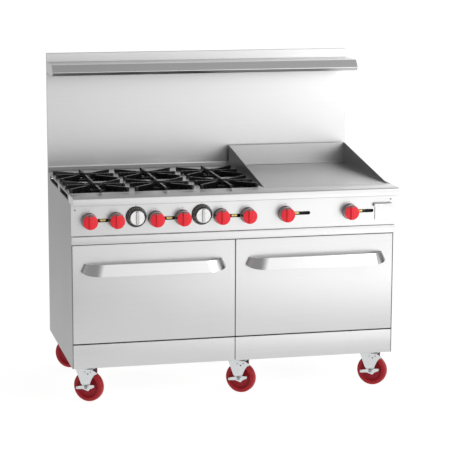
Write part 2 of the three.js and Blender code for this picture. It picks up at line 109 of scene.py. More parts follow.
class Nodes:
    def __init__(self, name):
        self.m = bpy.data.materials.new(name)
        self.m.use_nodes = True
        self.t = self.m.node_tree
        self.bsdf = self.t.nodes["Principled BSDF"]

    def new(self, kind, **inputs):
        n = self.t.nodes.new(kind)
        for k, v in inputs.items():
            if hasattr(n, k) and k not in n.inputs:
                setattr(n, k, v)
            else:
                n.inputs[k].default_value = v
        return n

    def link(self, a, b):
        self.t.links.new(a, b)

    def coords(self, scale=(1, 1, 1), rotation=(0, 0, 0)):
        c = self.t.nodes.new("ShaderNodeTexCoord")
        m = self.t.nodes.new("ShaderNodeMapping")
        m.inputs["Scale"].default_value = scale
        m.inputs["Rotation"].default_value = rotation
        self.link(c.outputs["Object"], m.inputs["Vector"])
        return m.outputs["Vector"]

    def noise(self, vector, scale=1.0, detail=3.0, rough=0.5, distortion=0.0):
        n = self.t.nodes.new("ShaderNodeTexNoise")
        n.inputs["Scale"].default_value = scale
        n.inputs["Detail"].default_value = detail
        n.inputs["Roughness"].default_value = rough
        n.inputs["Distortion"].default_value = distortion
        self.link(vector, n.inputs["Vector"])
        return n.outputs["Fac"]

    def remap(self, value, a, b, lo=0.3, hi=0.7):
        n = self.t.nodes.new("ShaderNodeMapRange")
        n.inputs["From Min"].default_value = lo
        n.inputs["From Max"].default_value = hi
        n.inputs["To Min"].default_value = a
        n.inputs["To Max"].default_value = b
        self.link(value, n.inputs["Value"])
        return n.outputs["Result"]

    def math(self, op, a, b):
        n = self.t.nodes.new("ShaderNodeMath")
        n.operation = op
        for i, v in enumerate((a, b)):
            if isinstance(v, (int, float)):
                n.inputs[i].default_value = v
            else:
                self.link(v, n.inputs[i])
        return n.outputs["Value"]

    def ramp(self, value, stops):
        n = self.t.nodes.new("ShaderNodeValToRGB")
        cr = n.color_ramp
        cr.elements[0].position, cr.elements[0].color = stops[0][0], (*stops[0][1], 1)
        cr.elements[1].position, cr.elements[1].color = stops[-1][0], (*stops[-1][1], 1)
        for p, c in stops[1:-1]:
            cr.elements.new(p).color = (*c, 1)
        self.link(value, n.inputs["Fac"])
        return n.outputs["Color"]

    def bump(self, height, strength, distance=0.001, normal=None):
        n = self.t.nodes.new("ShaderNodeBump")
        n.inputs["Strength"].default_value = strength
        n.inputs["Distance"].default_value = distance
        self.link(height, n.inputs["Height"])
        if normal is not None:
            self.link(normal, n.inputs["Normal"])
        return n.outputs["Normal"]

    def set(self, **inputs):
        for k, v in inputs.items():
            s = self.bsdf.inputs[k.replace("_", " ")]
            if isinstance(v, bpy.types.NodeSocket):
                self.link(v, s)
            else:
                s.default_value = v
        return self.m


def grey(v):
    return (v, v, v)


def brushed(name, along, base=0.58, rough=0.33, spread=0.05, tone=0.03, bump=0.12):
    """Sheet with fine lines along one axis, a few longer polishing marks and faint handling smears."""
    n = Nodes(name)
    fine = [1500.0, 1500.0, 1500.0]
    wide = [160.0, 160.0, 160.0]
    fine["xyz".index(along)] = 14.0
    wide["xyz".index(along)] = 2.0
    lines = n.noise(n.coords(fine), 1.0, 4.0, 0.6)
    bands = n.noise(n.coords(wide), 1.0, 2.0, 0.5)
    smear = n.noise(n.coords((3.1, 3.1, 3.1)), 1.0, 3.0, 0.55, 0.4)
    mixed = n.math(
        "ADD",
        n.math("MULTIPLY", lines, 0.5),
        n.math("MULTIPLY", n.math("ADD", bands, smear), 0.25),
    )
    colour = n.ramp(mixed, [(0.3, grey(base - tone)), (0.7, grey(base + tone))])
    return n.set(
        Base_Color=colour,
        Metallic=1.0,
        Roughness=n.remap(mixed, rough - spread, rough + spread, 0.35, 0.65),
        Normal=n.bump(lines, bump, 0.0002),
    )


def cast(name, dark, light, rough, grain=900.0, strength=0.5, metallic=0.0, spec=0.5):
    n = Nodes(name)
    v = n.coords()
    fine = n.noise(v, grain, 4.0, 0.65)
    lump = n.noise(v, 45.0, 3.0, 0.5)
    both = n.math("ADD", n.math("MULTIPLY", fine, 0.6), n.math("MULTIPLY", lump, 0.4))
    return n.set(
        Base_Color=n.ramp(both, [(0.35, dark), (0.65, light)]),
        Metallic=metallic,
        Specular_IOR_Level=spec,
        Roughness=n.remap(both, rough - 0.08, rough + 0.1),
        Normal=n.bump(fine, strength, 0.0006, n.bump(lump, 0.25, 0.002)),
    )


def plastic(name, dark, light, rough, coat=0.0, grain=2600.0, strength=0.06, sub=0.0):
    n = Nodes(name)
    v = n.coords()
    fine = n.noise(v, grain, 2.0, 0.5)
    cloud = n.noise(v, 60.0, 3.0, 0.5)
    return n.set(
        Base_Color=n.ramp(cloud, [(0.3, dark), (0.7, light)]),
        Roughness=n.remap(cloud, rough - 0.05, rough + 0.06),
        Coat_Weight=coat,
        Coat_Roughness=0.12,
        Subsurface_Weight=sub,
        Normal=n.bump(fine, strength, 0.0003),
    )


STEEL_X = brushed("stainless_x", "x")
STEEL_Y = brushed("stainless_y", "y")
# side sheets: the same stainless, its base colour darkened to 0.34 as painted shade on the side faces
STEEL_Z_SHADED = brushed("stainless_z", "z", base=0.34, rough=0.42)
# griddle splash: the same stainless as the riser, its base colour darkened to 0.42 as painted shade
SPLASH_SHADED = brushed("splash_painted_shade", "x", base=0.42, rough=0.4)
PLATE = brushed("griddle_ground", "y", base=0.53, rough=0.36, spread=0.07, tone=0.05)
POLISHED = brushed("polished", "x", base=0.8, rough=0.12, spread=0.03, tone=0.03, bump=0.02)
CHROME = plastic("chrome_plate", grey(0.6), grey(0.68), 0.12, strength=0.02)
CHROME.node_tree.nodes["Principled BSDF"].inputs["Metallic"].default_value = 1.0
# metallised skirt: the pink cast in its grey is a painted reflection of the red knob face
SKIRT = plastic("metallised_skirt", (0.36, 0.30, 0.30), (0.44, 0.38, 0.38), 0.2, strength=0.03)
SKIRT.node_tree.nodes["Principled BSDF"].inputs["Metallic"].default_value = 1.0


def band_steel(side, centre, half):
    """Polished band; the dark streaks at its swept right end are a painted reflection, darkened into the colour by
    position along it.
    """
    m = brushed(f"polished_{side}", "x", base=0.8, rough=0.12, spread=0.03, tone=0.03, bump=0.02)
    n = m.node_tree
    co = n.nodes.new("ShaderNodeTexCoord")
    sx = n.nodes.new("ShaderNodeSeparateXYZ")
    n.links.new(co.outputs["Object"], sx.inputs[0])
    u = n.nodes.new("ShaderNodeMapRange")
    n.links.new(sx.outputs["X"], u.inputs["Value"])
    for k, v in (("From Min", (centre - half) / 1000), ("From Max", (centre + half) / 1000), ("To Min", 0.0), ("To Max", 1.0)):
        u.inputs[k].default_value = v
    # painted reflection: the colour is darkened in streaks over the last tenth of the band, at its right end
    painted_reflection = n.nodes.new("ShaderNodeValToRGB")
    n.links.new(u.outputs[0], painted_reflection.inputs[0])
    e = painted_reflection.color_ramp.elements
    e[0].position, e[0].color = 0.0, (1, 1, 1, 1)
    e[1].position, e[1].color = 0.895, (1, 1, 1, 1)
    for at, g in ((0.925, 0.36), (0.95, 0.55), (0.97, 0.25), (1.0, 0.4)):
        e.new(at).color = (g, g, g, 1)
    mul = n.nodes.new("ShaderNodeMix")
    mul.data_type, mul.blend_type = "RGBA", "MULTIPLY"
    mul.inputs[0].default_value = 1.0
    bsdf = n.nodes["Principled BSDF"]
    n.links.new(bsdf.inputs["Base Color"].links[0].from_socket, mul.inputs[6])
    n.links.new(painted_reflection.outputs[0], mul.inputs[7])
    n.links.new(mul.outputs[2], bsdf.inputs["Base Color"])
    return m


POINTER = plastic("pointer_grey", (0.13, 0.10, 0.10), (0.17, 0.135, 0.135), 0.35)
ZINC = brushed("zinc_plate", "z", base=0.62, rough=0.42, spread=0.06, tone=0.05, bump=0.08)
_z = ZINC.node_tree.nodes["Color Ramp"].color_ramp
_z.elements[0].color, _z.elements[1].color = (0.66, 0.68, 0.69, 1), (0.76, 0.78, 0.79, 1)
BOLT = brushed("bolt_steel", "x", base=0.34, rough=0.35, tone=0.05)
RED = plastic("knob_red", (0.76, 0.02, 0.034), (0.82, 0.03, 0.045), 0.4)
WHITE = plastic("dial_white", grey(0.82), grey(0.9), 0.3, coat=0.2)
SILVER = brushed("dial_grip", "z", base=0.5, rough=0.34, tone=0.05)
BLACK = plastic("bezel_black", grey(0.008), grey(0.02), 0.22, coat=0.4)
TICKS = plastic("dial_ticks", (0.42, 0.36, 0.22), (0.52, 0.45, 0.28), 0.45)
CAVITY = plastic("slot_liner", grey(0.006), grey(0.014), 0.6)
# dark fill of the index marks; the same dark also paints the shade of screw recesses and valve screw slots
MARK_AND_RECESS_SHADE = plastic("index_mark", grey(0.05), grey(0.09), 0.5)
BRASS = brushed("brass", "x", base=0.5, rough=0.28, tone=0.06)
_b = BRASS.node_tree.nodes["Color Ramp"].color_ramp
_b.elements[0].color, _b.elements[1].color = (0.50, 0.36, 0.12, 1), (0.66, 0.50, 0.20, 1)
GRATE = cast("cast_iron_black", grey(0.003), grey(0.01), 0.27, strength=0.2)
BURNER = cast("cast_iron_grey", grey(0.09), grey(0.19), 0.55, metallic=0.3)
TYRE = plastic("wheel_tread", (0.30, 0.008, 0.013), (0.36, 0.013, 0.02), 0.5, grain=900.0, strength=0.1, sub=0.05)
# wheel core: its red is darker than the tread's as painted shade on the wheel's side faces
CORE = plastic("wheel_core", (0.26, 0.006, 0.012), (0.32, 0.01, 0.018), 0.55, grain=900.0, strength=0.08)


def spangle(name, base, rough):
    """Galvanised sheet: pale crystal patches."""
    n = Nodes(name)
    v = n.coords()
    vo = n.t.nodes.new("ShaderNodeTexVoronoi")
    vo.inputs["Scale"].default_value = 70.0
    n.link(v, vo.inputs["Vector"])
    cloud = n.noise(v, 8.0, 3.0, 0.5)
    mix = n.math("ADD", n.math("MULTIPLY", vo.outputs["Color"], 0.5), n.math("MULTIPLY", cloud, 0.5))
    return n.set(
        Base_Color=n.ramp(mix, [(0.2, grey(base * 0.82)), (0.8, grey(base * 1.15))]),
        Metallic=1.0,
        Roughness=n.remap(mix, rough - 0.08, rough + 0.08, 0.2, 0.8),
        Normal=n.bump(cloud, 0.1, 0.001),
    )


def enamel(name):
    """Dark porcelain enamel with fine pale flecks."""
    n = Nodes(name)
    v = n.coords()
    fleck = n.noise(v, 900.0, 1.0, 0.4)
    flow = n.noise(v, 30.0, 2.0, 0.5)
    return n.set(
        Base_Color=n.ramp(fleck, [(0.0, (0.012, 0.014, 0.02)), (0.66, (0.016, 0.018, 0.026)), (0.74, (0.3, 0.32, 0.36)), (1.0, (0.4, 0.42, 0.46))]),
        Roughness=n.remap(flow, 0.12, 0.26),
        Coat_Weight=0.5,
        Normal=n.bump(flow, 0.15, 0.002),
    )


for _m in (CORE, TYRE, RED):
    _m.node_tree.nodes["Principled BSDF"].inputs["Specular IOR Level"].default_value = 0.25
GALV = spangle("galvanised", 0.5, 0.5)
ENAMEL = enamel("oven_enamel")

# ------------------------------------------------------------------ mesh code

AX = {
    "x": lambda u, v, w: (w, u, v),
    "y": lambda u, v, w: (u, w, v),
    "z": lambda u, v, w: (u, v, w),
}


class Shell:
    """Closed surfaces that make one piece. k is the index of the material."""

    def __init__(self, place=None):
        self.v, self.f, self.k, self.place = [], [], [], place

    def put(self, verts, faces, k=0):
        n = len(self.v)
        self.v += [tuple(p) for p in verts]
        self.f += [tuple(i + n for i in face) for face in faces]
        self.k += [k] * len(faces)
        return self

    def prism(self, axis, outer, a, b, holes=(), k=0):
        rings = [list(outer)] + [list(h) for h in holes]
        flat = [p for r in rings for p in r]
        n = len(flat)
        verts = [AX[axis](u, v, a) for u, v in flat] + [AX[axis](u, v, b) for u, v in flat]
        if holes:
            tri = tessellate_polygon([[Vector((u, v, 0)) for u, v in r] for r in rings])
            faces = [tuple(t) for t in tri] + [tuple(i + n for i in reversed(t)) for t in tri]
        else:
            faces = [tuple(range(n)), tuple(i + n for i in reversed(range(n)))]
        off = 0
        for r in rings:
            m = len(r)
            faces += [(off + i, off + (i + 1) % m, off + (i + 1) % m + n, off + i + n) for i in range(m)]
            off += m
        return self.put(verts, faces, k)

    def box(self, x0, x1, y0, y1, z0, z1, k=0):
        return self.prism("z", [(x0, y0), (x1, y0), (x1, y1), (x0, y1)], z0, z1, k=k)

    def lathe(self, axis, c, profile, seg=48, k=0, phase=0.0, arc=None):
        """profile is [(radius, height along the axis)]; it ends on the axis or closes on itself."""
        verts, faces, rows = [], [], []
        for r, h in profile:
            if r < 1e-6:
                rows.append([len(verts)])
                verts.append((0, 0, h))
            else:
                rows.append(list(range(len(verts), len(verts) + seg)))
                verts += [(r * math.cos(phase + 2 * math.pi * i / seg), r * math.sin(phase + 2 * math.pi * i / seg), h) for i in range(seg)]
        closed = profile[0][0] > 1e-6
        pairs = list(zip(rows, rows[1:])) + ([(rows[-1], rows[0])] if closed else [])
        for p, q in pairs:
            for i in range(seg):
                j = (i + 1) % seg
                if len(p) == 1 and len(q) > 1:
                    faces.append((p[0], q[j], q[i]))
                elif len(q) == 1 and len(p) > 1:
                    faces.append((p[i], p[j], q[0]))
                elif len(p) > 1:
                    faces.append((p[i], p[j], q[j], q[i]))
        turn = {"z": lambda x, y, h: (x, y, h), "y": lambda x, y, h: (x, h, y), "x": lambda x, y, h: (h, x, y)}[axis]
        out = []
        for x, y, h in verts:
            a, b, d = turn(x, y, h)
            out.append((a + c[0], b + c[1], d + c[2]))
        return self.put(out, faces, k)

    def tube(self, path, r, seg=12, k=0, closed=False):
        pts = [Vector(p) for p in path]
        n = len(pts)
        tangents = []
        for i in range(n):
            a = pts[(i - 1) % n] if closed or i else pts[0]
            b = pts[(i + 1) % n] if closed or i < n - 1 else pts[-1]
            tangents.append((b - a).normalized())
        up = Vector((0, 0, 1)) if abs(tangents[0].z) < 0.9 else Vector((0, 1, 0))
        side = tangents[0].cross(up).normalized()
        verts, faces = [], []
        for p, t in zip(pts, tangents):
            side = (side - t * side.dot(t)).normalized()
            over = side.cross(t)
            verts += [p + (side * math.cos(2 * math.pi * i / seg) + over * math.sin(2 * math.pi * i / seg)) * r for i in range(seg)]
        for s in range(n if closed else n - 1):
            a, b = s * seg, ((s + 1) % n) * seg
            faces += [(a + i, a + (i + 1) % seg, b + (i + 1) % seg, b + i) for i in range(seg)]
        if not closed:
            faces += [tuple(range(seg)), tuple(reversed(range((n - 1) * seg, n * seg)))]
        return self.put(verts, faces, k)

    def loft(self, rings, k=0, caps=True):
        """rings are equal lists of 3-D points, each closed; the surface runs through them."""
        m = len(rings[0])
        verts = [p for r in rings for p in r]
        faces = []
        for s in range(len(rings) - 1):
            a, b = s * m, (s + 1) * m
            faces += [(a + i, a + (i + 1) % m, b + (i + 1) % m, b + i) for i in range(m)]
        if caps:
            faces += [tuple(range(m)), tuple(reversed(range((len(rings) - 1) * m, len(rings) * m)))]
        return self.put(verts, faces, k)

    def mirrored(self):
        s = Shell(self.place)
        s.v = [(-x, y, z) for x, y, z in self.v]
        s.f = [tuple(reversed(f)) for f in self.f]
        s.k = list(self.k)
        return s

    def mesh(self, name, mats, sharp=32.0, local=False):
        bm = bmesh.new()
        vs = [bm.verts.new((x / 1000, y / 1000, z / 1000) if local else pt(x, y, z)) for x, y, z in self.v]
        for f, k in zip(self.f, self.k):
            face = bm.faces.new([vs[i] for i in f])
            face.material_index = k
        bmesh.ops.recalc_face_normals(bm, faces=bm.faces)
        me = bpy.data.meshes.new(name)
        bm.to_mesh(me)
        bm.free()
        me.shade_smooth()
        me.set_sharp_from_angle(angle=math.radians(sharp))
        for m in mats if isinstance(mats, (list, tuple)) else [mats]:
            me.materials.append(m)
        return me


def show(name, mesh, body, nodes=(), bevel=None, at=None, segments=2, angle=34.0):
    if at is not None:
        mesh = mesh.copy()
        mesh.transform(at)
    o = bpy.data.objects.new(name, mesh)
    bpy.context.scene.collection.objects.link(o)
    if bevel:
        b = o.modifiers.new("edges", "BEVEL")
        b.width = bevel / 1000
        b.segments = segments
        b.limit_method = "ANGLE"
        b.angle_limit = math.radians(angle)
        b.harden_normals = True
        b.miter_outer = "MITER_ARC"
    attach(o, body)
    if nodes:
        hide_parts(*nodes)
    return o


def rrect(x0, x1, z0, z1, r, seg=4):
    out = []
    for cx, cz, a0 in ((x1 - r, z1 - r, 0), (x0 + r, z1 - r, 90), (x0 + r, z0 + r, 180), (x1 - r, z0 + r, 270)):
        for i in range(seg + 1):
            a = math.radians(a0 + 90 * i / seg)
            out.append((cx + r * math.cos(a), cz + r * math.sin(a)))
    return out


def circle(cx, cz, r, n=24, phase=0.0):
    return [(cx + r * math.cos(phase + 2 * math.pi * i / n), cz + r * math.sin(phase + 2 * math.pi * i / n)) for i in range(n)]


def fillet(points, seg=4):
    """points are (u, v) or (u, v, radius): corners with a radius are rounded."""
    out, n = [], len(points)
    for i, p in enumerate(points):
        if len(p) < 3 or p[2] <= 0:
            out.append((p[0], p[1]))
            continue
        c = Vector(p[:2])
        a = (Vector(points[i - 1][:2]) - c).normalized()
        b = (Vector(points[(i + 1) % n][:2]) - c).normalized()
        half = math.acos(max(-1, min(1, a.dot(b)))) / 2
        d = p[2] / math.tan(half)
        s, e = c + a * d, c + b * d
        centre = c + (a + b).normalized() * (p[2] / math.sin(half))
        a0 = math.atan2(s.y - centre.y, s.x - centre.x)
        a1 = math.atan2(e.y - centre.y, e.x - centre.x)
        turn = (a1 - a0 + math.pi) % (2 * math.pi) - math.pi
        for j in range(seg + 1):
            t = a0 + turn * j / seg
            out.append((centre.x + p[2] * math.cos(t), centre.y + p[2] * math.sin(t)))
    return out


def screw(sh, x, y, z, r=4.2, k=0, axis="y", out=-1, recess_shade_k=None):
    """Pan-head screw, its head standing 2.4 mm off the sheet; its crossed recess is not cut but painted shade, two
    thin dark bars laid on the head.
    """
    prof = [(0, 2.4), (r * 0.55, 2.2), (r * 0.9, 1.3), (r, 0.4), (r, 0.0), (0, 0.0)]
    prof = [(a, h * out) for a, h in prof]
    sh.lathe(axis, (x, y, z), prof, 16, k)
    # painted shade: the recess is two dark bars standing on the head
    kk = k if recess_shade_k is None else recess_shade_k
    for du, dv in ((r * 0.6, 0.5), (0.5, r * 0.6)):
        if axis == "y":
            sh.box(x - du, x + du, min(y + out * 2.0, y + out * 2.5), max(y + out * 2.0, y + out * 2.5), z - dv, z + dv, kk)


# ------------------------------------------------------------------ side panels
for side, k in (("left", -1), ("right", 1)):
    y1, zb = SIDE[3], SIDE[4]
    yl, zl = 62.3, 937.5
    outer = fillet([(0, zb), (y1, zb), (y1, Z_TOP), (yl, Z_TOP), (yl, zl), (0, zl)])
    holes = [rrect(94, 353, 941, 967, 2, 3), rrect(421, 691, 941, 967, 2, 3)]
    s = Shell()
    s.prism("x", outer, -HALF_W, -HALF_W + 1.6, holes)
    # folded edges: front return behind the doors' line, bottom flange, rear flange
    s.prism("x", [(0.4, zb + 1), (1.8, zb + 1), (1.8, zl - 1), (0.4, zl - 1)], -HALF_W + 1.2, -HALF_W + 1.62)
    s.box(-HALF_W + 1.4, -HALF_W + 14, y1 - 1.7, y1 - 0.1, zb + 1, 933)
    s.box(-HALF_W + 1.4, -HALF_W + 5.2, 26, y1 - 5, zb + 0.2, zb + 1.4)
    # rolled hem inside each window
    for a, b in ((94, 353), (421, 691)):
        s.prism("x", rrect(a + 0.2, b - 0.2, 941.2, 966.8, 2, 3), -HALF_W + 0.5, -HALF_W + 6, [rrect(a + 1.6, b - 1.6, 942.6, 965.4, 1, 3)])
    if k > 0:
        s = s.mirrored()
    show(f"side_sheet_{side}", s.mesh("side_sheet", STEEL_Z_SHADED), "range_body", [f"side_panel_{side}"], 0.45)

# ------------------------------------------------------------------ control panel
PY = PANEL[2]
KNOBS = [mid(f"gas_knob_{i}") for i in range(1, 9)]
DIALS = [mid(f"thermostat_knob_{s}") for s in ("left", "right")]
SLOTS = [(-650, -589), (-344, -282), (-40, 24), (250, 353), (557, 659)]
SLOT_Z = KNOBS[0][2] - 0.5
DX0, DX1, DZ0, DZ1 = 661, DRAWER[1], 816, DRAWER[5]
s = Shell()
zt, zb = PANEL[5], PANEL[4]
holes = [rrect(a, b, SLOT_Z - 8, SLOT_Z + 8, 7.9, 5) for a, b in SLOTS]
holes += [circle(x, z, 9, 20) for x, y, z in KNOBS + DIALS]
holes += [rrect(DX0 + 6, DX1 - 4.5, 820, 891, 2, 2)]
outer = rrect(-HALF_W, HALF_W, zb, zt, 2.2, 3)
s.prism("y", outer, PY, PY + 1.6, holes)
# top and bottom flanges and side returns
s.box(-HALF_W + 2.4, HALF_W - 2.4, PY + 1.2, 40, zt - 1.7, zt - 0.1)
s.box(-HALF_W + 2.4, HALF_W - 2.4, PY + 1.2, 40, zb + 0.1, zb + 1.7)
for k in (-1, 1):
    x0, x1 = sorted((k * HALF_W, k * (HALF_W - 1.7)))
    s.box(x0 + 0.05, x1 - 0.05, PY + 1.2, -0.4, zb + 0.4, zt - 0.4)
# guide of the grease drawer
gx0, gx1 = DRAWER[0] + 6, DRAWER[1] - 2
s.box(gx0 + 0.2, gx1 - 0.2, PY + 1.2, 340, 817, 818.6)
s.box(gx0 + 0.1, gx0 + 1.7, PY + 1.2, 340, 817.4, 893)
s.box(gx1 - 1.7, gx1 - 0.1, PY + 1.2, 340, 817.4, 893)
show("control_panel_sheet", s.mesh("control_panel_sheet", STEEL_X), "range_body", ["control_panel"], 0.4)

s = Shell()
screw(s, -745, PY, 912, 4.0, 0, "y", -1, 1)
screw(s, 743, PY, 912, 4.0, 0, "y", -1, 1)
show("panel_screws", s.mesh("panel_screws", [BOLT, MARK_AND_RECESS_SHADE]), "range_body")

# small engraved index mark over each knob, filled dark
s = Shell()
for x, y, z in KNOBS:
    s.prism("y", [(x - 1.8, z + 47), (x + 1.8, z + 47), (x + 0.5, z + 42.5), (x - 0.5, z + 42.5)], PY - 0.18, PY + 0.3)
for x, y, z in DIALS:
    s.prism("y", [(x - 1.8, z + 56), (x + 1.8, z + 56), (x + 0.5, z + 51.5), (x - 0.5, z + 51.5)], PY - 0.18, PY + 0.3)
show("index_marks", s.mesh("index_marks", MARK_AND_RECESS_SHADE), "range_body")

# ------------------------------------------------------------------ gas manifold, valves, pilot valves in the slots
MZ = KNOBS[0][2]
s = Shell()
pipe = [(x, 26, MZ) for x in (620, -690)] + [(-690 - 24 * math.sin(a), 26 + 24 * (1 - math.cos(a)), MZ) for a in (0.4, 0.8, 1.2, math.pi / 2)]
s.tube([(620, 26, MZ), (-695, 26, MZ)] + [(-695 - 29 * math.sin(a), 55 - 29 * math.cos(a), MZ) for a in (0.3, 0.6, 0.9, 1.2, 1.5)] + [(-724, 80, MZ), (-724, 815, MZ)], 14, 24, 1)
s.lathe("x", (620, 26, MZ), [(0, -14), (17, -14), (17, 2), (15, 5), (0, 5)], 6, 1)
s.lathe("y", (-724, 0, MZ), [(14, 795), (17.5, 795), (17.5, 812), (16.5, 815), (12, 815), (12, 800)], 8, 1)
for x, y, z in KNOBS:
    s.lathe("y", (x, 0, z), [(0, 14), (13, 14), (13, 4), (10, 2), (8, 2), (8, -5), (4, -6), (3.8, -29), (0, -29)], 20)
    s.lathe("y", (x, 0, z), [(9, -1), (10.5, -1), (10.5, 4), (9, 4)], 6)
for x, y, z in DIALS:
    s.box(x - 18, x + 18, 8, 50, z - 26, z + 20)
    s.lathe("y", (x, 0, z), [(0, 10), (7.5, 10), (7.5, -4), (4, -5), (3.8, -27), (0, -27)], 20)
show("gas_manifold_pipe", s.mesh("gas_manifold_pipe", [BRASS, GALV]), "range_body", ["gas_manifold"], 0.8)

s = Shell()
for x, y, z in [(v, -2, SLOT_Z) for v in (-618, -312, -8, 287, 594)]:
    # a short square valve body with a hexagon nut at each end and a screw in the middle whose slot is painted shade, a
    # thin dark bar laid on its head
    s.box(x - 11, x + 11, y - 3.6, y + 14, z - 4.6, z + 4.6)
    for d in (-1, 1):
        s.lathe("x", (x + d * 12.4, y + 2, z), [(0, -2.9), (5.2, -2.9), (5.2, 2.9), (0, 2.9)], 6)
    s.lathe("y", (x, y, z), [(0, -5.0), (3.0, -5.0), (3.4, -4.4), (3.4, -3), (0, -3)], 16)
    s.box(x - 2.6, x + 2.6, y - 5.3, y - 4.6, z - 0.45, z + 0.45, 1)
show("pilot_valves", s.mesh("pilot_valves", [BRASS, MARK_AND_RECESS_SHADE]), "range_body", (), 0.5)

# dark burner box liner behind the slots
s = Shell()
for a, b in SLOTS:
    s.prism("y", rrect(a - 6, b + 6, SLOT_Z - 14, SLOT_Z + 14, 3, 3), PY + 3, 13.5, [rrect(a - 4.6, b + 4.6, SLOT_Z - 12.6, SLOT_Z + 12.6, 2, 3)])
    s.prism("y", rrect(a - 5.4, b + 5.4, SLOT_Z - 13.4, SLOT_Z + 13.4, 3, 3), 10, 12.5)
show("slot_boxes", s.mesh("slot_boxes", CAVITY), "range_body")

# ------------------------------------------------------------------ front ledge, rims, rails and rear deck
s = Shell()
LF, LB, LZ = DECK[2], 62, DECK[4] if DECK[4] > 936 else 937.8
LZ = 937.8
t = 1.8
out = fillet([(-12, LZ, 0), (LF, LZ, 3.2), (LF, Z_TOP, 8), (LB, Z_TOP, 2.2), (LB, 941, 0)], 6)
inn = fillet([(LB - t, 941, 0), (LB - t, Z_TOP - t, 0.6), (LF + t, Z_TOP - t, 6.2), (LF + t, LZ + t, 1.4), (-12, LZ + t, 0)], 6)
s.prism("x", out + inn, -HALF_W + 1.2, HALF_W - 1.2)
cap = fillet([(LF, LZ, 3.2), (LF, Z_TOP, 8), (LB, Z_TOP, 1), (LB, LZ, 1)], 6)
s.prism("x", cap, -HALF_W, -HALF_W + 1.5)
s.prism("x", cap, HALF_W - 1.5, HALF_W)
x0, xg, ye = -HALF_W + 2.3, GRID[0] - 1.3, SIDE[3] - 0.4
GSEAT = nb("grate_rear_1")[5] - 16  # where the ends of the grates rest
GRATE_CX = [mid(f"grate_rear_{i}")[0] for i in (1, 2, 3)]
WELL = 124.0
s.box(x0 + 0.6, 676, LB - 1.4, LB + 16, 942, 943.8)
s.box(734, -x0 - 0.6, LB - 1.4, LB + 16, 942, 943.8)
for k in (-1, 1):
    a, b = sorted((k * (HALF_W - 2.3), k * (HALF_W - 4.3)))
    s.box(a, b, LB - 0.8, ye, 967.6, Z_TOP + 1.9)
    a2, b2 = sorted((k * (HALF_W - 2.6), k * (HALF_W - 5.3)))
    s.box(a2, b2, LB - 0.5, 92, 935, 970)
    s.box(a2, b2, 692, ye - 0.5, 935, 970)

# cooktop sheet with an opening, its edges turned down, over each burner
ZS = GSEAT - 0.5
WX = [(-740, -490), (-440, -186), (-136, 122)]
WY = [(74, 360), (398, 680)]
WELLS = [(a, b, c, d) for a, b in WX for c, d in WY]
s.prism("z", [(x0 + 0.8, LB - 0.6), (xg - 0.3, LB - 0.6), (xg - 0.3, ye - 0.7), (x0 + 0.8, ye - 0.7)], ZS - 1.8, ZS, [rrect(a, b, c, d, 5, 5) for a, b, c, d in WELLS])
for a, b, c, d in WELLS:
    s.prism("z", rrect(a - 1.5, b + 1.5, c - 1.5, d + 1.5, 6.5, 5), ZS - 9, ZS - 1.2, [rrect(a + 0.1, b - 0.1, c + 0.1, d - 0.1, 5, 5)])
# ribs under the sheet
for a in (-465.5, -161.5):
    s.box(a, a + 1.8, LB + 1, ye - 1.2, 937, ZS - 1)
s.box(x0 + 1.3, xg - 1.3, 378, 379.8, 938, ZS - 1)
s.box(xg - 2, xg, LB + 0.7, ye - 1.4, 939, ZS - 0.8)
# sheet swept up to the riser
s.prism("x", fillet([(ye - 26, ZS - 0.8), (ye - 9, ZS - 0.8, 9), (ye - 1.2, Z_TOP + 1.6, 0), (ye - 2.4, Z_TOP + 1.6, 0), (ye - 10, ZS + 0.2, 8), (ye - 26, ZS + 0.05)], 4), x0 + 0.9, xg - 0.4)
s.box(x0 + 1.4, -x0 - 1.4, ye - 2.4, ye - 0.3, 938, Z_TOP - 0.6)
s.box(xg - 1.6, -x0 - 1.2, 720, ye - 1.1, 941, 943)
s.box(GRID[1] + 0.3, -x0 - 0.9, LB - 1.1, ye - 1.3, Z_TOP - 2.3, Z_TOP - 0.3)
s.box(GRID[0] - 4, GRID[1] + 3, GRID[3] + 0.3, ye - 1.5, Z_TOP - 2.6, Z_TOP - 0.6)
show("burner_deck_sheet", s.mesh("burner_deck_sheet", STEEL_X), "range_body", ["burner_deck"], 0.35)

# ------------------------------------------------------------------ griddle
gx0, gx1, gy0, gy1, gz0 = GRID[0], GRID[1], GRID[2], GRID[3], Z_TOP - 25
SPL = GRID[5]
s = Shell()
notch = [(gx0, gy0), (684, gy0), (684, gy0 + 8), (726, gy0 + 8), (726, gy0), (gx1, gy0), (gx1, gy1), (gx0, gy1)]
s.prism("z", notch, gz0, Z_TOP)
show("griddle_plate", s.mesh("griddle_plate", PLATE), "range_body", ["griddle"], 1.6, segments=3)
s = Shell()
wedge = fillet([(gy0 + 0.5, Z_TOP - 6), (gy1 - 0.5, Z_TOP - 6), (gy1 - 0.5, SPL, 2.5), (gy0 + 2.5, Z_TOP + 1.2, 1.0)], 3)
s.prism("x", wedge, gx0 + 0.02, gx0 + 3)
s.prism("x", wedge, gx1 - 3, gx1 - 0.02)
s.prism("x", fillet([(gy1 - 3, Z_TOP - 5), (gy1 - 0.02, Z_TOP - 5), (gy1 - 0.02, SPL, 1.4), (gy1 - 3, SPL, 1.4)], 4), gx0 + 0.4, gx1 - 0.4)


def cove(r, seg=5):
    """A concave weld fillet in a right-angled corner, from the corner outwards."""
    return [(0, 0), (r, 0)] + [(r - r * math.sin(a), r - r * math.cos(a)) for a in [math.pi / 2 * i / seg for i in range(1, seg)]] + [(0, r)]


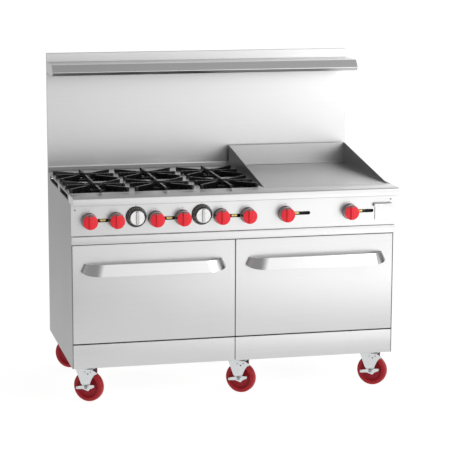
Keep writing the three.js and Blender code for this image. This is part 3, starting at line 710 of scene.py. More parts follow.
s.prism("x", [(gy1 - 3 - u, Z_TOP + v - 0.02) for u, v in cove(4)], gx0 + 2.5, gx1 - 2.5)
s.prism("y", [(gx0 + 3 + u, Z_TOP + v - 0.02) for u, v in cove(3.5)], gy0 + 46, gy1 - 2.5)
s.prism("y", [(gx1 - 3 - u, Z_TOP + v - 0.02) for u, v in cove(3.5)], gy0 + 46, gy1 - 2.5)
show("griddle_splash", s.mesh("griddle_splash", SPLASH_SHADED), "range_body", (), 0.5)
s = Shell()
s.prism("z", rrect(680, 730, 64, 96, 3), 896, 948.5, [rrect(682, 728, 66, 94, 2)])
show("grease_chute", s.mesh("grease_chute", GALV), "range_body", (), 0.4)

# ------------------------------------------------------------------ back riser and high shelf
s = Shell()
ry0, ry1, rz0, rh = RISER[2], RISER[3], RISER[4], RISER[1]
out = fillet([(ry0, rz0), (ry0, 974.4, 3), (800, 990, 10), (800, TOP, 2.6), (ry1, TOP, 2.6), (ry1, rz0)], 5)
s.prism("x", out, -rh, rh)
show("riser_sheet", s.mesh("riser_sheet", STEEL_X), "range_body", ["back_riser"], 0.9, segments=3)
s = Shell()
w, sy0, sy1, sz = SHELF[1], SHELF[2], SHELF[3], SHELF[5]
prof = fillet([(620, sz, 3.5), (sy0, 1472, 4), (602, SHELF[4], 2), (603.8, SHELF[4] + 0.4), (sy0 + 2.6, 1472.4, 3), (621.4, sz - 1.8, 2), (sy1 - 1.8, sz - 1.8), (sy1 - 1.8, SHELF[4]), (sy1, SHELF[4]), (sy1, sz, 0.8)], 4)
s.prism("x", prof, -w + 1.2, w - 1.2)
end = fillet([(620, sz, 3.5), (sy0, 1472, 4), (602, SHELF[4], 2), (sy1, SHELF[4], 1), (sy1, sz, 1)], 4)
s.prism("x", end, -w, -w + 1.6)
s.prism("x", end, w - 1.6, w)
# stiffening channel and two brackets under the shelf
s.prism("x", fillet([(690, sz - 1.6), (690, sz - 14, 2), (714, sz - 14, 2), (714, sz - 1.6), (712.4, sz - 1.6), (712.4, sz - 12.4), (691.6, sz - 12.4), (691.6, sz - 1.6)], 3), -w + 10, w - 10)
for x in (-380, 380):
    s.prism("x", [(sy1 - 1.6, sz - 1.7), (sy1 - 1.6, SHELF[4] + 2), (sy1 - 12, SHELF[4] + 2), (645, sz - 12), (645, sz - 1.7)], x - 0.9, x + 0.9)
show("shelf_sheet", s.mesh("shelf_sheet", STEEL_X), "range_body", ["high_shelf"], 0.4)

# ------------------------------------------------------------------ kick panels
for side, k in (("left", -1), ("right", 1)):
    n = nb(f"kick_panel_{side}")
    s = Shell()
    z0, z1, y1 = n[4], n[5], n[3]
    o = fillet([(y1, z0), (0, z0, 2), (0, z1, 2.6), (y1, z1)], 4)
    i = fillet([(y1, z1 - 1.6), (1.6, z1 - 1.6, 1), (1.6, z0 + 1.6, 0.6), (y1, z0 + 1.6)], 4)
    s.prism("x", o + i, n[0] + 1, n[1] - 1)
    c = fillet([(y1, z0), (0, z0, 2), (0, z1, 2.6), (y1, z1)], 4)
    s.prism("x", c, n[0], n[0] + 1.5)
    s.prism("x", c, n[1] - 1.5, n[1])
    show(f"kick_sheet_{side}", s.mesh("kick_sheet", STEEL_X), "range_body", [f"kick_panel_{side}"], 0.8, segments=3)

# ------------------------------------------------------------------ oven doors, handles
for side, k in (("left", -1), ("right", 1)):
    n = nb(f"oven_door_{side}")
    body = f"oven_door_{side}"
    x0, x1, d, z0, z1 = n[0], n[1], n[3], n[4], n[5]
    s = Shell()
    o = fillet([(d - 1, z0 + 0.1), (0, z0, 3.6), (0, z1, 3.2), (d - 1, z1 - 0.1)], 5)
    s.prism("x", o, x0 + 1.4, x1 - 1.4)
    c = fillet([(d - 1.2, z0 + 0.3), (0.6, z0 + 0.3, 3.4), (0.6, z1 - 0.3, 3.0), (d - 1.2, z1 - 0.3)], 5)
    s.prism("x", c, x0, x0 + 1.6)
    s.prism("x", c, x1 - 1.6, x1)
    show(f"door_skin_{side}", s.mesh("door_skin", STEEL_X), body, [f"oven_door_{side}"], 0.7, segments=3)
    # inner door: a dished enamel panel, its frame screwed to the skin, with vent slots along the foot
    s = Shell()
    cx = (x0 + x1) / 2
    s.prism("y", rrect(x0 + 12, x1 - 12, z0 + 12, z1 - 12, 6), d - 1.4, d, [rrect(cx + a, cx + a + 80, z0 + 20, z0 + 28, 3.5) for a in (-260, -40, 180)])
    s.prism("y", rrect(x0 + 52, x1 - 52, z0 + 74, z1 - 50, 14), d - 0.6, d + 2.6)
    s.prism("y", rrect(x0 + 92, x1 - 92, z0 + 114, z1 - 90, 18), d + 1.5, d + 3.2)
    show(f"door_inner_{side}", s.mesh("door_inner", ENAMEL), body, (), 1.2, segments=3)
    s = Shell()
    for xx in (x0 + 30, cx, x1 - 30):
        for zz in (z0 + 44, z1 - 30):
            screw(s, xx, d, zz, 4.2, 0, "y", 1, 1)
    show(f"door_screws_{side}", s.mesh("door_screws", [BOLT, MARK_AND_RECESS_SHADE]), body)

    # Handle: a polished band, deeper and wider along its lower edge, its ends swept back to the door.
    h = nb(f"door_handle_{side}")
    cx, hz0, hz1, dep, hw = (h[0] + h[1]) / 2, h[4], h[5], -h[2], (h[1] - h[0]) / 2
    seg, levels = 20, 6

    def loop(w_, d_, r_):
        """Plan of the band: straight in front, each end a quarter ellipse back to the door."""
        p = [(-w_, -0.5)]
        p += [(-w_ + r_ - r_ * math.cos(a), -0.9 - (d_ - 0.9) * math.sin(a)) for a in [math.pi / 2 * q / seg for q in range(seg + 1)]]
        p += [(w_ - r_ + r_ * math.sin(a), -0.9 - (d_ - 0.9) * math.cos(a)) for a in [math.pi / 2 * q / seg for q in range(seg + 1)]]
        p += [(w_, -0.5)]
        return p

    rings = []
    for lv in range(levels + 1):
        f = lv / levels
        sx, dd, z = hw - f * 17, dep * (1 - f * 0.24), hz0 + (hz1 - hz0) * f
        oo, ii = loop(sx, dd, 88), loop(sx - 2.8, dd - 2.6, 85.2)

        def lift(a, w_, r_):
            """The lower edge sweeps up a little round each end."""
            u = max(0.0, (abs(a) - (w_ - r_)) / r_)
            return z + (1 - f) * 19.0 * (1 - math.sqrt(max(0.0, 1 - u * u)))

        rings.append(([(cx + a, b, lift(a, sx, 88)) for a, b in oo], [(cx + a, b, lift(a, sx - 2.8, 85.2)) for a, b in ii]))
    m = len(rings[0][0])
    verts, faces = [], []
    for oo, ii in rings:
        verts += oo + ii
    row = 2 * m
    for lv in range(levels):
        a, b = lv * row, (lv + 1) * row
        for q in range(m - 1):
            faces.append((a + q, a + q + 1, b + q + 1, b + q))
            faces.append((a + m + q + 1, a + m + q, b + m + q, b + m + q + 1))
        faces.append((a, b, b + m, a + m))
        faces.append((a + m - 1, a + 2 * m - 1, b + 2 * m - 1, b + m - 1))
    for base, flip in ((0, False), (levels * row, True)):
        for q in range(m - 1):
            fc = (base + q, base + m + q, base + m + q + 1, base + q + 1)
            faces.append(tuple(reversed(fc)) if flip else fc)
    s = Shell()
    s.put(verts, faces)
    for e in (-1, 1):
        a, b = sorted((cx + e * (hw - 22), cx + e * (hw - 58)))
        s.prism("y", rrect(a, b, hz0 + 5, hz1 - 5, 4), -3, -0.4)
    # the band's colour carries a painted reflection: dark streaks at its right end
    show(f"handle_band_{side}", s.mesh("handle_band", band_steel(side, cx, hw), 40.0), body, [f"door_handle_{side}"], 0.8, segments=3, angle=50)
    s = Shell()
    for e in (-1, 1):
        for zz in (hz0 + 16, hz1 - 18):
            screw(s, cx + e * (hw - 40), -3, zz, 4, 0, "y", -1, 1)
    show(f"handle_screws_{side}", s.mesh("handle_screws", [BOLT, MARK_AND_RECESS_SHADE]), body)

# ------------------------------------------------------------------ crumb tray
s = Shell()
z0, z1, yf, yr = TRAY[4], TRAY[5], TRAY[2], TRAY[3]
front = fillet([(yf, z0, 3), (yf, z1, 5), (-3, z1, 1.5), (-3, z1 - 1.6), (yf + 1.8, z1 - 1.8, 3.4), (yf + 1.8, z0 + 1.8, 1.4), (-3, z0 + 1.6), (-3, z0, 1)], 5)
s.prism("x", front, -HALF_W + 1, HALF_W - 1)
c = fillet([(yf, z0, 3), (yf, z1, 5), (-3, z1, 1), (-3, z0, 1)], 5)
s.prism("x", c, -HALF_W, -HALF_W + 1.5)
s.prism("x", c, HALF_W - 1.5, HALF_W)
w = 755
s.box(-w, w, -3.6, yr, z0 + 1, z0 + 2.6)
s.box(-w, w, -3.4, -1.9, z0 + 1.4, 776)
s.box(-w, w, yr - 1.6, yr, z0 + 1.4, 776)
s.box(-w, -w + 1.6, -3.2, yr - 0.2, z0 + 1.2, 776)
s.box(w - 1.6, w, -3.2, yr - 0.2, z0 + 1.2, 776)
show("crumb_tray_sheet", s.mesh("crumb_tray_sheet", STEEL_X), "crumb_tray", ["crumb_tray"], 0.4)

# ------------------------------------------------------------------ grease drawer
s = Shell()
dx0, dx1, dyf, dz1 = DRAWER[0], DRAWER[1], DRAWER[2], DRAWER[5]
s.prism("y", rrect(dx0 + 7, dx1 - 1.4, 817.5, 893, 1.6, 3), -14, -12.2)
lip = fillet([(-12.4, 880), (-12.4, dz1, 3), (dyf, dz1, 6.5), (dyf, 879), (dyf + 1.6, 879), (dyf + 1.6, dz1 - 1.6, 5), (-14, dz1 - 1.6, 1.5), (-14, 880)], 6)
s.prism("x", lip, dx0, dx1)
a, b = dx0 + 10.5, dx1 - 6.5
s.box(a, b, -12.4, 325, 821.5, 823.1)
s.box(a, a + 1.6, -12.4, 325, 821.7, 886)
s.box(b - 1.6, b, -12.4, 325, 821.7, 886)
s.box(a + 0.1, b - 0.1, 323.4, 325, 821.8, 886)
show("grease_drawer_sheet", s.mesh("grease_drawer_sheet", STEEL_X), "grease_drawer", ["grease_drawer"], 0.4)

# ------------------------------------------------------------------ burners
for r in ("front", "rear"):
    for i in (1, 2, 3):
        n = nb(f"burner_{r}_{i}")
        g = mid(f"grate_{r}_{i}")
        cx = g[0]
        cy = 222 if r == "front" else 536
        dx = 34 if r == "rear" else -16
        s = Shell()
        s.lathe("z", (cx, cy, 0), [(0, 885), (15, 885), (16, 890), (16, 915), (22, 921), (40, 928), (45, 931), (45, 936), (42, 938), (42, 940), (45.4, 941), (45.4, 943), (38, 948), (14, 949), (12, 946), (0, 946)], 48)
        for q in range(24):
            a = 2 * math.pi * q / 24
            c, sn = math.cos(a), math.sin(a)
            r0, r1, wd = 41, 45.9, 2.1
            quad = [(cx + r0 * c - wd * sn, cy + r0 * sn + wd * c), (cx + r0 * c + wd * sn, cy + r0 * sn - wd * c), (cx + r1 * c + wd * sn, cy + r1 * sn - wd * c), (cx + r1 * c - wd * sn, cy + r1 * sn + wd * c)]
            s.prism("z", quad, 931.5, 942.5)
        tip = cy + (14 if r == "rear" else 4)
        s.tube([(cx + dx, y, 884) for y in (62, 70, 84, 110, tip)], 10.5, 20)
        s.lathe("y", (cx + dx, 0, 884), [(11, 56), (17, 56), (17.6, 60), (15, 74), (11, 86)], 24)
        s.lathe("z", (cx + dx, tip - 6, 884), [(0, -9), (10, -9), (12, 0), (10, 9), (0, 9)], 20)
        s.box(min(cx, cx + dx) - 3, max(cx, cx + dx) + 3, cy - 8, cy + 8, 878.5, 892)
        show(f"burner_casting_{r}_{i}", s.mesh("burner_casting", BURNER), "range_body", [f"burner_{r}_{i}"], 0.8)

# ------------------------------------------------------------------ grates
gz1 = nb("grate_rear_1")[5]
gz0 = GSEAT + 0.3
for r in ("front", "rear"):
    for i in (1, 2, 3):
        node = f"grate_{r}_{i}"
        n = nb(node)
        cx, cy = (n[0] + n[1]) / 2, (222 if r == "front" else 536)
        hx, hy = (n[1] - n[0]) / 2, n[3] - cy
        s = Shell()
        for q in range(8):
            a = q * math.pi / 4
            if q % 2:
                tx, ty = math.copysign(hx - 4, math.cos(a)), math.copysign(126, math.sin(a))
                length, ang = math.hypot(tx, ty), math.atan2(ty, tx)
            else:
                length, ang = (hx if q % 4 == 0 else hy), a
            front_arm = r == "front" and q == 6
            # blade with a deep middle, its end resting on the cooktop sheet; diagonals stop short of the hub
            r0 = 58 if q % 2 else 25
            low = gz0 - 13.5
            seat = WELL + 3 if q % 2 == 0 else 164
            tail = length + 9.6 if front_arm else length
            prof = [(r0 + 1.5, low + 1.2), (r0, low + 3), (r0, gz1 - 3), (r0 + 2.6, gz1 - 0.4), (r0 + 6, gz1), (tail - 3, gz1), (tail, gz1 - 3), (tail, gz0 + 1.2), (tail - 1.2, gz0), (seat + 2, gz0), (seat - 2, gz0 - 1.4)]
            w0 = WELL - 4 if q % 2 == 0 else 158
            prof += [(w0, low + 9.5), (w0 - 8, low + 5), (w0 - 20, low + 1.6), (w0 - 34, low + 0.3), (w0 - 46, low)]
            if q % 2 == 0:
                prof += [(52, low + 0.4), (38, low + 1.4)]
            ca, sa = math.cos(ang), math.sin(ang)
            blade = Shell()
            blade.prism("y", prof, -4.4, 4.4)
            if not front_arm:
                blade.lathe("z", (length - 8.6, 0, 0), [(0, gz0 + 0.05), (7.4, gz0 + 0.05), (8.6, gz0 + 1.2), (8.6, gz1 - 2.6), (7.2, gz1 - 0.6), (4.6, gz1 - 0.02), (0, gz1 - 0.01)], 20)
            s.put([(cx + x * ca - y * sa, cy + x * sa + y * ca, z) for x, y, z in blade.v], blade.f)
        # hub ring low between the arms, and a shallow aeration bowl cast with them
        s.lathe("z", (cx, cy, 0), [(59.6, gz0 - 11), (60.6, gz0 - 12), (67.4, gz0 - 12), (68.4, gz0 - 11), (68, gz0 - 3), (67, gz0 - 2), (61, gz0 - 2), (60, gz0 - 3)], 56)
        bowl = [(66, gz0 - 10.6), (84, gz0 - 13), (102, gz0 - 12.4), (114, gz0 - 8.6), (120.6, gz0 - 3.4), (122.2, gz0 - 2.8), (122.2, gz0 - 5.4), (116, gz0 - 10.8), (103, gz0 - 15.2), (84, gz0 - 16), (66, gz0 - 13.4)]
        s.lathe("z", (cx, cy, 0), bowl, 56)
        show(f"grate_casting_{r}_{i}", s.mesh("grate_casting", GRATE), node, [node], 2.0, segments=3, angle=40)

# ------------------------------------------------------------------ knobs
for i, (x, y, z) in enumerate(KNOBS, 1):
    node = f"gas_knob_{i}"
    n = nb(node)
    yb, yf = n[3], n[2]
    face = yf + 8
    s = Shell()
    s.lathe("y", (x, 0, z), [(5, yb), (36, yb), (36.8, yb - 0.8), (36.8, yb - 3.4), (35.8, yb - 5.2), (34.4, yb - 6.4), (33.4, yb - 9), (32.8, yb - 30), (32.8, face + 4.5), (33.5, face + 2.6), (33.5, face + 1.2), (5, face + 1.2)], 64)
    show(f"knob_skirt_{i}", s.mesh("knob_skirt", SKIRT), node, [node], 0.3)
    s = Shell()
    s.lathe("y", (x, 0, z), [(0, face + 1.4), (33.4, face + 1.4), (34, face + 0.9), (33.7, face - 0.1), (32.7, face - 0.7), (0, face - 0.7)], 64)
    # grip: a bar across the face, steep on its left and sloping away on its right
    base = rrect(x - 11.5, x + 10.8, z - 31.2, z + 31.2, 5, 4)
    crest = rrect(x - 4.6, x + 8.2, z - 30.2, z + 30.2, 2.6, 4)
    ring0 = [(u, face - 0.4, v) for u, v in base]
    ring1 = [(u, yf + 1.6, v) for u, v in [(x + 1.6 + (u - x + 0.35) * 0.63, z + (v - z) * 0.985) for u, v in base]]
    ring2 = [(u, yf + 0.1, v) for u, v in crest]
    s.loft([ring0, ring1, ring2])
    show(f"knob_face_{i}", s.mesh("knob_face", RED), node, (), 0.4)
    # pale pointer cap over the top end of the grip
    s = Shell()
    s.loft([[(u, face - 0.9, v) for u, v in rrect(x - 11.9, x + 11.2, z + 24.8, z + 32.4, 2.6, 3)], [(u, yf + 1.3, v) for u, v in rrect(x - 6.2, x + 9.2, z + 25.6, z + 32.0, 2.2, 3)], [(u, yf + 0.02, v) for u, v in rrect(x - 4.6, x + 8.2, z + 26.2, z + 31.2, 1.8, 3)]])
    show(f"knob_pointer_{i}", s.mesh("knob_pointer", POINTER), node, (), 0.3)

for side, (x, y, z) in zip(("left", "right"), DIALS):
    node = f"thermostat_knob_{side}"
    n = nb(node)
    yb, yf = n[3], n[2]
    face = yf + 6
    s = Shell()
    s.lathe("y", (x, 0, z), [(5, yb), (46.8, yb), (48, yb - 1), (48, yb - 3.2), (47, yb - 5.6), (45.4, yb - 6.8), (43.6, yb - 7.6), (37.5, yb - 8), (36, yb - 9.2), (5, yb - 9.2)], 72)
    show(f"dial_bezel_{side}", s.mesh("dial_bezel", BLACK), node, (), 0.25)
    s = Shell()
    for q in range(28):
        a = math.radians(225 - 270 * q / 27)
        c, sn = math.cos(a), math.sin(a)
        r0, r1, wd = (40.2, 45.0, 0.6) if q % 3 == 0 else (42.4, 45.0, 0.35)
        quad = [(x + r0 * c - wd * sn, z + r0 * sn + wd * c), (x + r0 * c + wd * sn, z + r0 * sn - wd * c), (x + r1 * c + wd * sn, z + r1 * sn - wd * c), (x + r1 * c - wd * sn, z + r1 * sn + wd * c)]
        s.prism("y", quad, yb - 8.05, yb - 6.9)
    show(f"dial_ticks_{side}", s.mesh("dial_ticks", TICKS), node)
    s = Shell()
    s.lathe("y", (x, 0, z), [(5, yb - 8.6), (36.2, yb - 8.6), (36.2, yb - 11), (34.6, yb - 13), (33.4, yb - 28), (33.0, face + 3.2), (33.2, face + 1.8), (32.8, face + 0.6), (5, face + 0.6)], 64)
    show(f"dial_barrel_{side}", s.mesh("dial_barrel", CHROME), node, [node], 0.3)
    s = Shell()
    s.lathe("y", (x, 0, z), [(0, face + 0.9), (31.8, face + 0.9), (32.2, face + 0.3), (31.4, face - 0.5), (0, face - 0.5)], 64)
    show(f"dial_face_{side}", s.mesh("dial_face", WHITE), node, (), 0.2)
    s = Shell()
    base = rrect(x - 7.4, x + 7.4, z - 31.4, z + 31.4, 5, 4)
    crest = rrect(x - 4.4, x + 4.4, z - 30, z + 30, 3.4, 4)
    s.loft([[(u, face - 0.2, v) for u, v in base], [(x + (u - x) * 0.72, yf + 1.4, z + (v - z) * 0.985) for u, v in base], [(u, yf + 0.1, v) for u, v in crest]])
    show(f"dial_grip_{side}", s.mesh("dial_grip", SILVER), node, (), 0.4)

# ------------------------------------------------------------------ oven racks
for side in ("left", "right"):
    node = f"oven_rack_{side}"
    n = nb(node)
    x0, x1, y0, y1, z0, z1 = n
    s = Shell()
    zc = (z0 + z1) / 2
    r = 2.9
    corners = fillet([(x0 + r, y0 + r, 12), (x1 - r, y0 + r, 12), (x1 - r, y1 - r, 12), (x0 + r, y1 - r, 12)], 6)
    s.tube([(u, v, zc) for u, v in corners], r, 12, closed=True)
    s.tube([(x0 + 3, (y0 + y1) / 2, zc), (x1 - 3, (y0 + y1) / 2, zc)], r, 12)
    for q in range(1, 22):
        x = x0 + (x1 - x0) * q / 22
        s.tube([(x, y0 + 2, zc + 0.9), (x, y1 - 2, zc + 0.9)], 1.9, 10)
    show(f"rack_wires_{side}", s.mesh("rack_wires", CHROME), node, [node])

# ------------------------------------------------------------------ casters
WHEEL_R, TRAIL = 72.0, 11.0
s = Shell()


def strip(sh, path, thick, k=0):
    """A bent plate: each station is (x, z, y from, y to) on its mid-surface."""
    rings = []
    for i, (x, z, ya, yb_) in enumerate(path):
        p, q = path[max(i - 1, 0)], path[min(i + 1, len(path) - 1)]
        tx, tz = q[0] - p[0], q[1] - p[1]
        ln = math.hypot(tx, tz)
        nx, nz = -tz / ln * thick / 2, tx / ln * thick / 2
        rings.append([(x - nx, ya, z - nz), (x - nx, yb_, z - nz), (x + nx, yb_, z + nz), (x + nx, ya, z + nz)])
    sh.loft(rings, k)


# each leg is a plate that widens upwards and spreads to one side over the wheel
hub_round = [(-TRAIL + 13.6 * math.sin(a), WHEEL_R - 13.6 * math.cos(a)) for a in [math.radians(v) for v in (-84, -56, -28, 0, 28, 56, 78)]]
leg = [(-41, 157.0), (-43, 157.0), (-66, 144.6), (-68.4, 142.2), (-66.6, 140.4), (-54, 133), (-46, 123), (-40, 112), (-33.5, 97), (-27.5, 80)] + hub_round + [(9, 80), (16, 88), (41, 150.4), (41, 157.0)]
vents = [circle(-21, 136, 3.4, 16), circle(-34, 146, 3.0, 16)]
far = [(-41, 157.0)] + [(-40.4, 112)] + leg[8:]
s.prism("x", leg, -30.0, -27.1, vents)
s.prism("x", far, 27.1, 30.0)
arc = [(-28.55 + 9.4 * (1 - math.cos(a)), 148.7 + 9.4 * math.sin(a)) for a in [math.radians(v) for v in (0, 18, 36, 54, 72, 90)]]
left = [(ax_, az_, -40.8, 40.8) for ax_, az_ in arc]
strip(s, left + [(-x, z, a, b) for x, z, a, b in reversed(left)], 2.8)
# swivel head: two pressed races with balls' shadow groove between, and the kingpin nut
s.lathe("z", (0, 0, 0), [(0, 157), (30, 157), (34, 158), (37.4, 160.4), (38, 162), (36.4, 163), (33.6, 163.4), (33.6, 164.2), (36.8, 164.6), (38, 165.8), (37.2, 167.4), (0, 167.4)], 48)
s.lathe("z", (0, 0, 0), [(0, 150), (9, 150), (9.6, 151), (9.6, 156), (0, 156)], 6)
# raised ridge pressed down each leg
for e in (-1, 1):
    rib = []
    for zz in (86, 92, 104, 118, 132, 144, 148):
        c, up = -9.5 + 0.085 * (zz - 84), 1.5 if 88 < zz < 146 else 0.1
        rib.append([(e * 29.4, c - 6.4, zz), (e * 29.4, c + 6.4, zz), (e * (30 + up), c + 2.6, zz), (e * (30 + up), c - 2.6, zz)])
    s.loft(rib)
FORK = s.mesh("caster_fork", ZINC, 32.0, True)
s = Shell()
for e in (-1, 1):
    s.lathe("x", (0, -TRAIL, WHEEL_R), [(0, e * 29), (9.6, e * 29), (9.6, e * 30.6 if e > 0 else e * 30.4), (0, e * 30.6)] if e > 0 else [(0, -33.7), (8.6, -33.7), (8.8, -34.3), (8.0, -34.9), (0, -34.9)], 24)
s.lathe("x", (0, -TRAIL, WHEEL_R), [(0, -34.8), (6.6, -34.8), (6.8, -36.6), (5.6, -37.4), (0, -37.4)], 6)
s.lathe("x", (0, -TRAIL, WHEEL_R), [(0, 30.4), (7.2, 30.4), (7.2, 35.4), (6.2, 36.4), (0, 36.4)], 6)
s.lathe("x", (0, -TRAIL, WHEEL_R), [(0, -36), (4.6, -36), (4.6, 36), (0, 36)], 20)
AXLE = s.mesh("caster_axle", BOLT, 32.0, True)
s = Shell()
h = 20.0
tread = [(50, -16), (52, -18.6), (56, -19.8), (64, -19.4), (68.6, -17.2), (70.8, -13.4), (71.8, -8), (72, 0), (71.8, 8), (70.8, 13.4), (68.6, 17.2), (64, 19.4), (56, 19.8), (52, 18.6), (50, 16)]
s.lathe("x", (0, 0, 0), tread, 96)
TYRE_M = s.mesh("wheel_tread", TYRE, 40.0, True)
s = Shell()
disc = [(9, -25), (16.5, -25), (18.5, -24), (20, -21), (21, -13.6), (24, -12), (42, -11.4), (46, -12.6), (49, -15.6), (51, -17.4), (52.4, -16), (52.4, 16), (51, 17.4), (49, 15.6), (46, 12.6), (42, 11.4), (24, 12), (21, 13.6), (20, 21), (18.5, 24), (16.5, 25), (9, 25)]
s.lathe("x", (0, 0, 0), disc, 96)
for q in range(6):
    a = math.pi * q / 3
    for e in (-1, 1):
        rib = []
        for rr, hh, wd in ((20, 17.5, 2.2), (30, 13.6, 1.8), (42, 12.2, 1.6), (47, 13.2, 1.6)):
            c, sn = math.cos(a), math.sin(a)
            rib.append([(e * 10, rr * c - wd * sn, rr * sn + wd * c), (e * 10, rr * c + wd * sn, rr * sn - wd * c), (e * hh, rr * c + wd * sn * 0.5, rr * sn - wd * c * 0.5), (e * hh, rr * c - wd * sn * 0.5, rr * sn + wd * c * 0.5)])
        s.loft(rib)
CORE_M = s.mesh("wheel_core", CORE, 32.0, True)
s = Shell()
y, z = -TRAIL, WHEEL_R
pedal = fillet([(y + 51, z - 1, 3), (y + 47, z - 13, 3), (y + 16, z - 9, 12), (y - 4, z - 15, 8), (y - 13, z - 16.6, 4), (y - 22, z - 6, 9), (y - 43, z + 4, 3), (y - 45, z + 15, 3), (y - 24, z + 13, 10), (y - 8, z + 13, 10), (y + 12, z + 8, 10)], 4)
s.prism("x", pedal, -33.4, -31.0, [circle(y, z, 5.4, 20)])
for yy, zz in ((y + 46.4, z - 6.8), (y - 41.4, z + 9.4)):
    s.prism("x", rrect(yy - 3.0, yy + 3.0, zz - 4.6, zz + 4.6, 2, 3), -36.4, -32)
PEDAL = s.mesh("brake_pedal", ZINC, 32.0, True)

spin = {j["name"]: j for j in frame["joints"]}
for r in ("front", "rear"):
    for i in (1, 2, 3):
        j = spin[f"caster_{r}_{i}_swivel"]["pos_m"]
        ax_ = Vector(spin[f"caster_{r}_{i}_spin"]["axis"])
        turn = math.atan2(ax_.y, ax_.x)
        at = Matrix.Translation((j[0], j[1], 0)) @ Matrix.Rotation(turn, 4, "Z")
        f, w = f"caster_fork_{r}_{i}", f"caster_wheel_{r}_{i}"
        show(f"fork_yoke_{r}_{i}", FORK, f, [f], 0.5, at)
        show(f"fork_axle_{r}_{i}", AXLE, f, (), 0.3, at)
        hub = at @ Matrix.Translation((0, -TRAIL / 1000, WHEEL_R / 1000))
        show(f"wheel_tyre_{r}_{i}", TYRE_M, w, [w], None, hub)
        show(f"wheel_disc_{r}_{i}", CORE_M, w, (), 0.5, hub)
        if r == "front":
            b = f"brake_pedal_{r}_{i}"
            show(f"pedal_plate_{i}", PEDAL, b, [b], 0.5, at)

# ------------------------------------------------------------------ rear panel and what stays from the CAD
s = Shell()
n = nb("rear_panel")
louvres = []
holes = [circle(-724, MZ, 19, 24)]
for col in range(4):
    for row in range(5):
        lx, lz = -600 + col * 400, 420 + row * 60
        holes.append(rrect(lx - 90, lx + 90, lz, lz + 8, 3.5, 3))
        louvres.append((lx, lz))
s.prism("y", rrect(n[0], n[1], n[4], n[5], 2, 2), n[2], n[3], holes)
for lx, lz in louvres:
    hood = [(0.2, 9), (0.2, 16), (0.9, 16), (2.6, 11.5), (2.6, 8.5), (1.8, 8.5), (1.7, 10.8)]
    s.prism("x", [(n[3] - 0.4 + u, lz + v) for u, v in hood], lx - 92, lx + 92)
show("rear_sheet", s.mesh("rear_sheet", GALV), "range_body", ["rear_panel"], 0.25)
s = Shell()
for xx in (-735, -380, 0, 380, 735):
    for zz in (190, 560, 922):
        screw(s, xx, n[3], zz, 4.2, 0, "y", 1, 1)
for xx in (-735, -380, 0, 380, 735):
    for zz in (1012, 1530):
        screw(s, xx, REAR - 3.0, zz, 4.0, 0, "y", 1, 1)
show("rear_screws", s.mesh("rear_screws", [BOLT, MARK_AND_RECESS_SHADE]), "range_body")

for name, m in (("base_frame", GALV), ("oven_liner_left", ENAMEL), ("oven_liner_right", ENAMEL)):
    o = frame["nodes"][name]
    o.data.materials.clear()
    o.data.materials.append(m)
    b = o.modifiers.new("edges", "BEVEL")
    b.width, b.segments, b.limit_method = 0.0004, 2, "ANGLE"

# ------------------------------------------------------------------ stage, lights, camera
scene = bpy.context.scene


def aim(o, at, to):
    o.location = at
    o.rotation_mode = "QUATERNION"
    o.rotation_quaternion = (Vector(to) - Vector(at)).to_track_quat("-Z", "Y")


def softbox(name, at, to, size, power, size_y=None):
    d = bpy.data.lights.new(name, "AREA")
    d.shape = "RECTANGLE"
    d.size, d.size_y = size, size_y or size
    d.energy = power
    o = bpy.data.objects.new(name, d)
    scene.collection.objects.link(o)
    aim(o, at, to)
    o.visible_camera = False
    return o


me = bpy.data.meshes.new("floor")
me.from_pydata([(-40, -40, 0), (40, -40, 0), (40, 60, 0), (-40, 60, 0)], [], [(0, 1, 2, 3)])
floor = bpy.data.objects.new("floor", me)
scene.collection.objects.link(floor)
n = Nodes("floor_white")
grain = n.noise(n.coords(), 6.0, 3.0)
sx = n.t.nodes.new("ShaderNodeSeparateXYZ")
n.link(n.coords(), sx.inputs[0])
# the floor glows evenly round the object and unevenly out in front, where only the steel sees it
across = n.ramp(n.remap(sx.outputs["X"], 0.0, 1.0, -4.0, 6.0), [(0.0, grey(0.2)), (0.22, grey(0.16)), (0.31, grey(0.17)), (0.36, grey(0.24)), (0.44, grey(0.5)), (0.54, grey(0.86)), (0.64, grey(1.0)), (0.70, grey(0.9)), (0.745, grey(0.2)), (1.0, grey(0.2))])
front = n.remap(sx.outputs["Y"], 1.0, 0.0, -2.2, -1.35)
beyond = n.math("SUBTRACT", sx.outputs["X"], n.math("MULTIPLY", sx.outputs["Y"], 0.361))
before = n.math("SUBTRACT", sx.outputs["X"], n.math("MULTIPLY", sx.outputs["Y"], 0.099))
near = n.math("MULTIPLY", n.remap(beyond, 0.92, 0.74, 1.5, 2.6), n.remap(before, 0.7, 1.0, -2.4, -1.3))
glow = n.math("ADD", n.math("MULTIPLY", n.math("MULTIPLY", across, 2.35), front), n.math("MULTIPLY", n.math("SUBTRACT", 1.0, front), near))
n.set(Base_Color=n.ramp(grain, [(0.3, (0.20, 0.195, 0.195)), (0.7, (0.22, 0.215, 0.215))]), Roughness=0.9, Specular_IOR_Level=0.0, Emission_Color=(1, 1, 1, 1), Emission_Strength=glow)
me.materials.append(n.m)

world = bpy.data.worlds.new("studio")
scene.world = world
world.use_nodes = True
wt = world.node_tree
bg = wt.nodes["Background"]
tc = wt.nodes.new("ShaderNodeTexCoord")
sep = wt.nodes.new("ShaderNodeSeparateXYZ")
wt.links.new(tc.outputs["Generated"], sep.inputs[0])


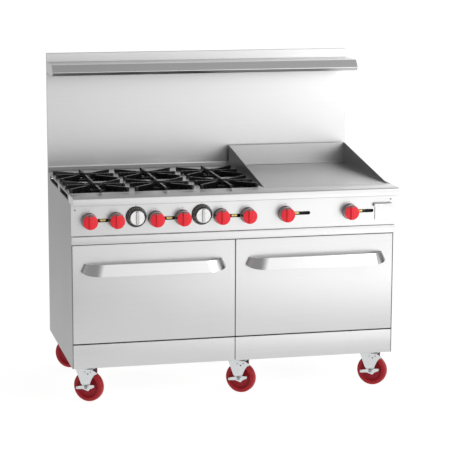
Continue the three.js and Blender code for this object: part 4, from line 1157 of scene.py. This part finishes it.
def wmap(value, a, b, lo, hi):
    n_ = wt.nodes.new("ShaderNodeMapRange")
    n_.interpolation_type = "SMOOTHSTEP"
    for k_, v_ in (("From Min", lo), ("From Max", hi), ("To Min", a), ("To Max", b)):
        n_.inputs[k_].default_value = v_
    wt.links.new(value, n_.inputs["Value"])
    return n_.outputs["Result"]


def wmul(a, b):
    n_ = wt.nodes.new("ShaderNodeMath")
    n_.operation = "MULTIPLY"
    wt.links.new(a, n_.inputs[0])
    wt.links.new(b, n_.inputs[1])
    return n_.outputs["Value"]


# brighter to the right and darker overhead, with a dark gap far out to the right
sky = wmul(wmul(wmap(sep.outputs["X"], 0.45, 1.9, -0.25, 0.55), wmap(sep.outputs["Z"], 1.0, 0.42, 0.12, 0.75)), wmap(sep.outputs["X"], 1.0, 0.3, 0.86, 0.95))
lp = wt.nodes.new("ShaderNodeLightPath")
pick = wt.nodes.new("ShaderNodeMix")
pick.data_type = "FLOAT"
wt.links.new(lp.outputs["Is Camera Ray"], pick.inputs[0])
wt.links.new(sky, pick.inputs[2])
pick.inputs[3].default_value = 1.0
bg.inputs["Color"].default_value = (1, 1, 1, 1)
wt.links.new(pick.outputs[0], bg.inputs["Strength"])

softbox("key", (3.0, -3.6, 2.6), (0.2, 0.0, 0.7), 3.0, 45)

cam = bpy.data.cameras.new("camera")
cam.sensor_width = 36.0
cam.lens = 145.7
cam.clip_start, cam.clip_end = 0.1, 100.0
co = bpy.data.objects.new("camera", cam)
scene.collection.objects.link(co)
YAW, TURN, CENTRE = 13.33, 0.27, Vector((0.0, 0.0, 0.75))
yaw, pitch, roll = math.radians(YAW - TURN), math.radians(-10.36), math.radians(0.17)
f = Vector((math.sin(yaw) * math.cos(pitch), math.cos(yaw) * math.cos(pitch), math.sin(pitch)))
r_ = Vector((math.cos(yaw), -math.sin(yaw), 0))
u_ = r_.cross(f)
right = r_ * math.cos(roll) + u_ * math.sin(roll)
up = -r_ * math.sin(roll) + u_ * math.cos(roll)
m = Matrix((right, up, -f)).transposed().to_4x4()
m.translation = CENTRE + Matrix.Rotation(math.radians(TURN), 3, "Z") @ (Vector((-1.94892, -8.38099, 2.32099)) - CENTRE)
co.matrix_world = m
scene.camera = co
scene.view_settings.view_transform = "Standard"
scene.view_settings.look = "None"
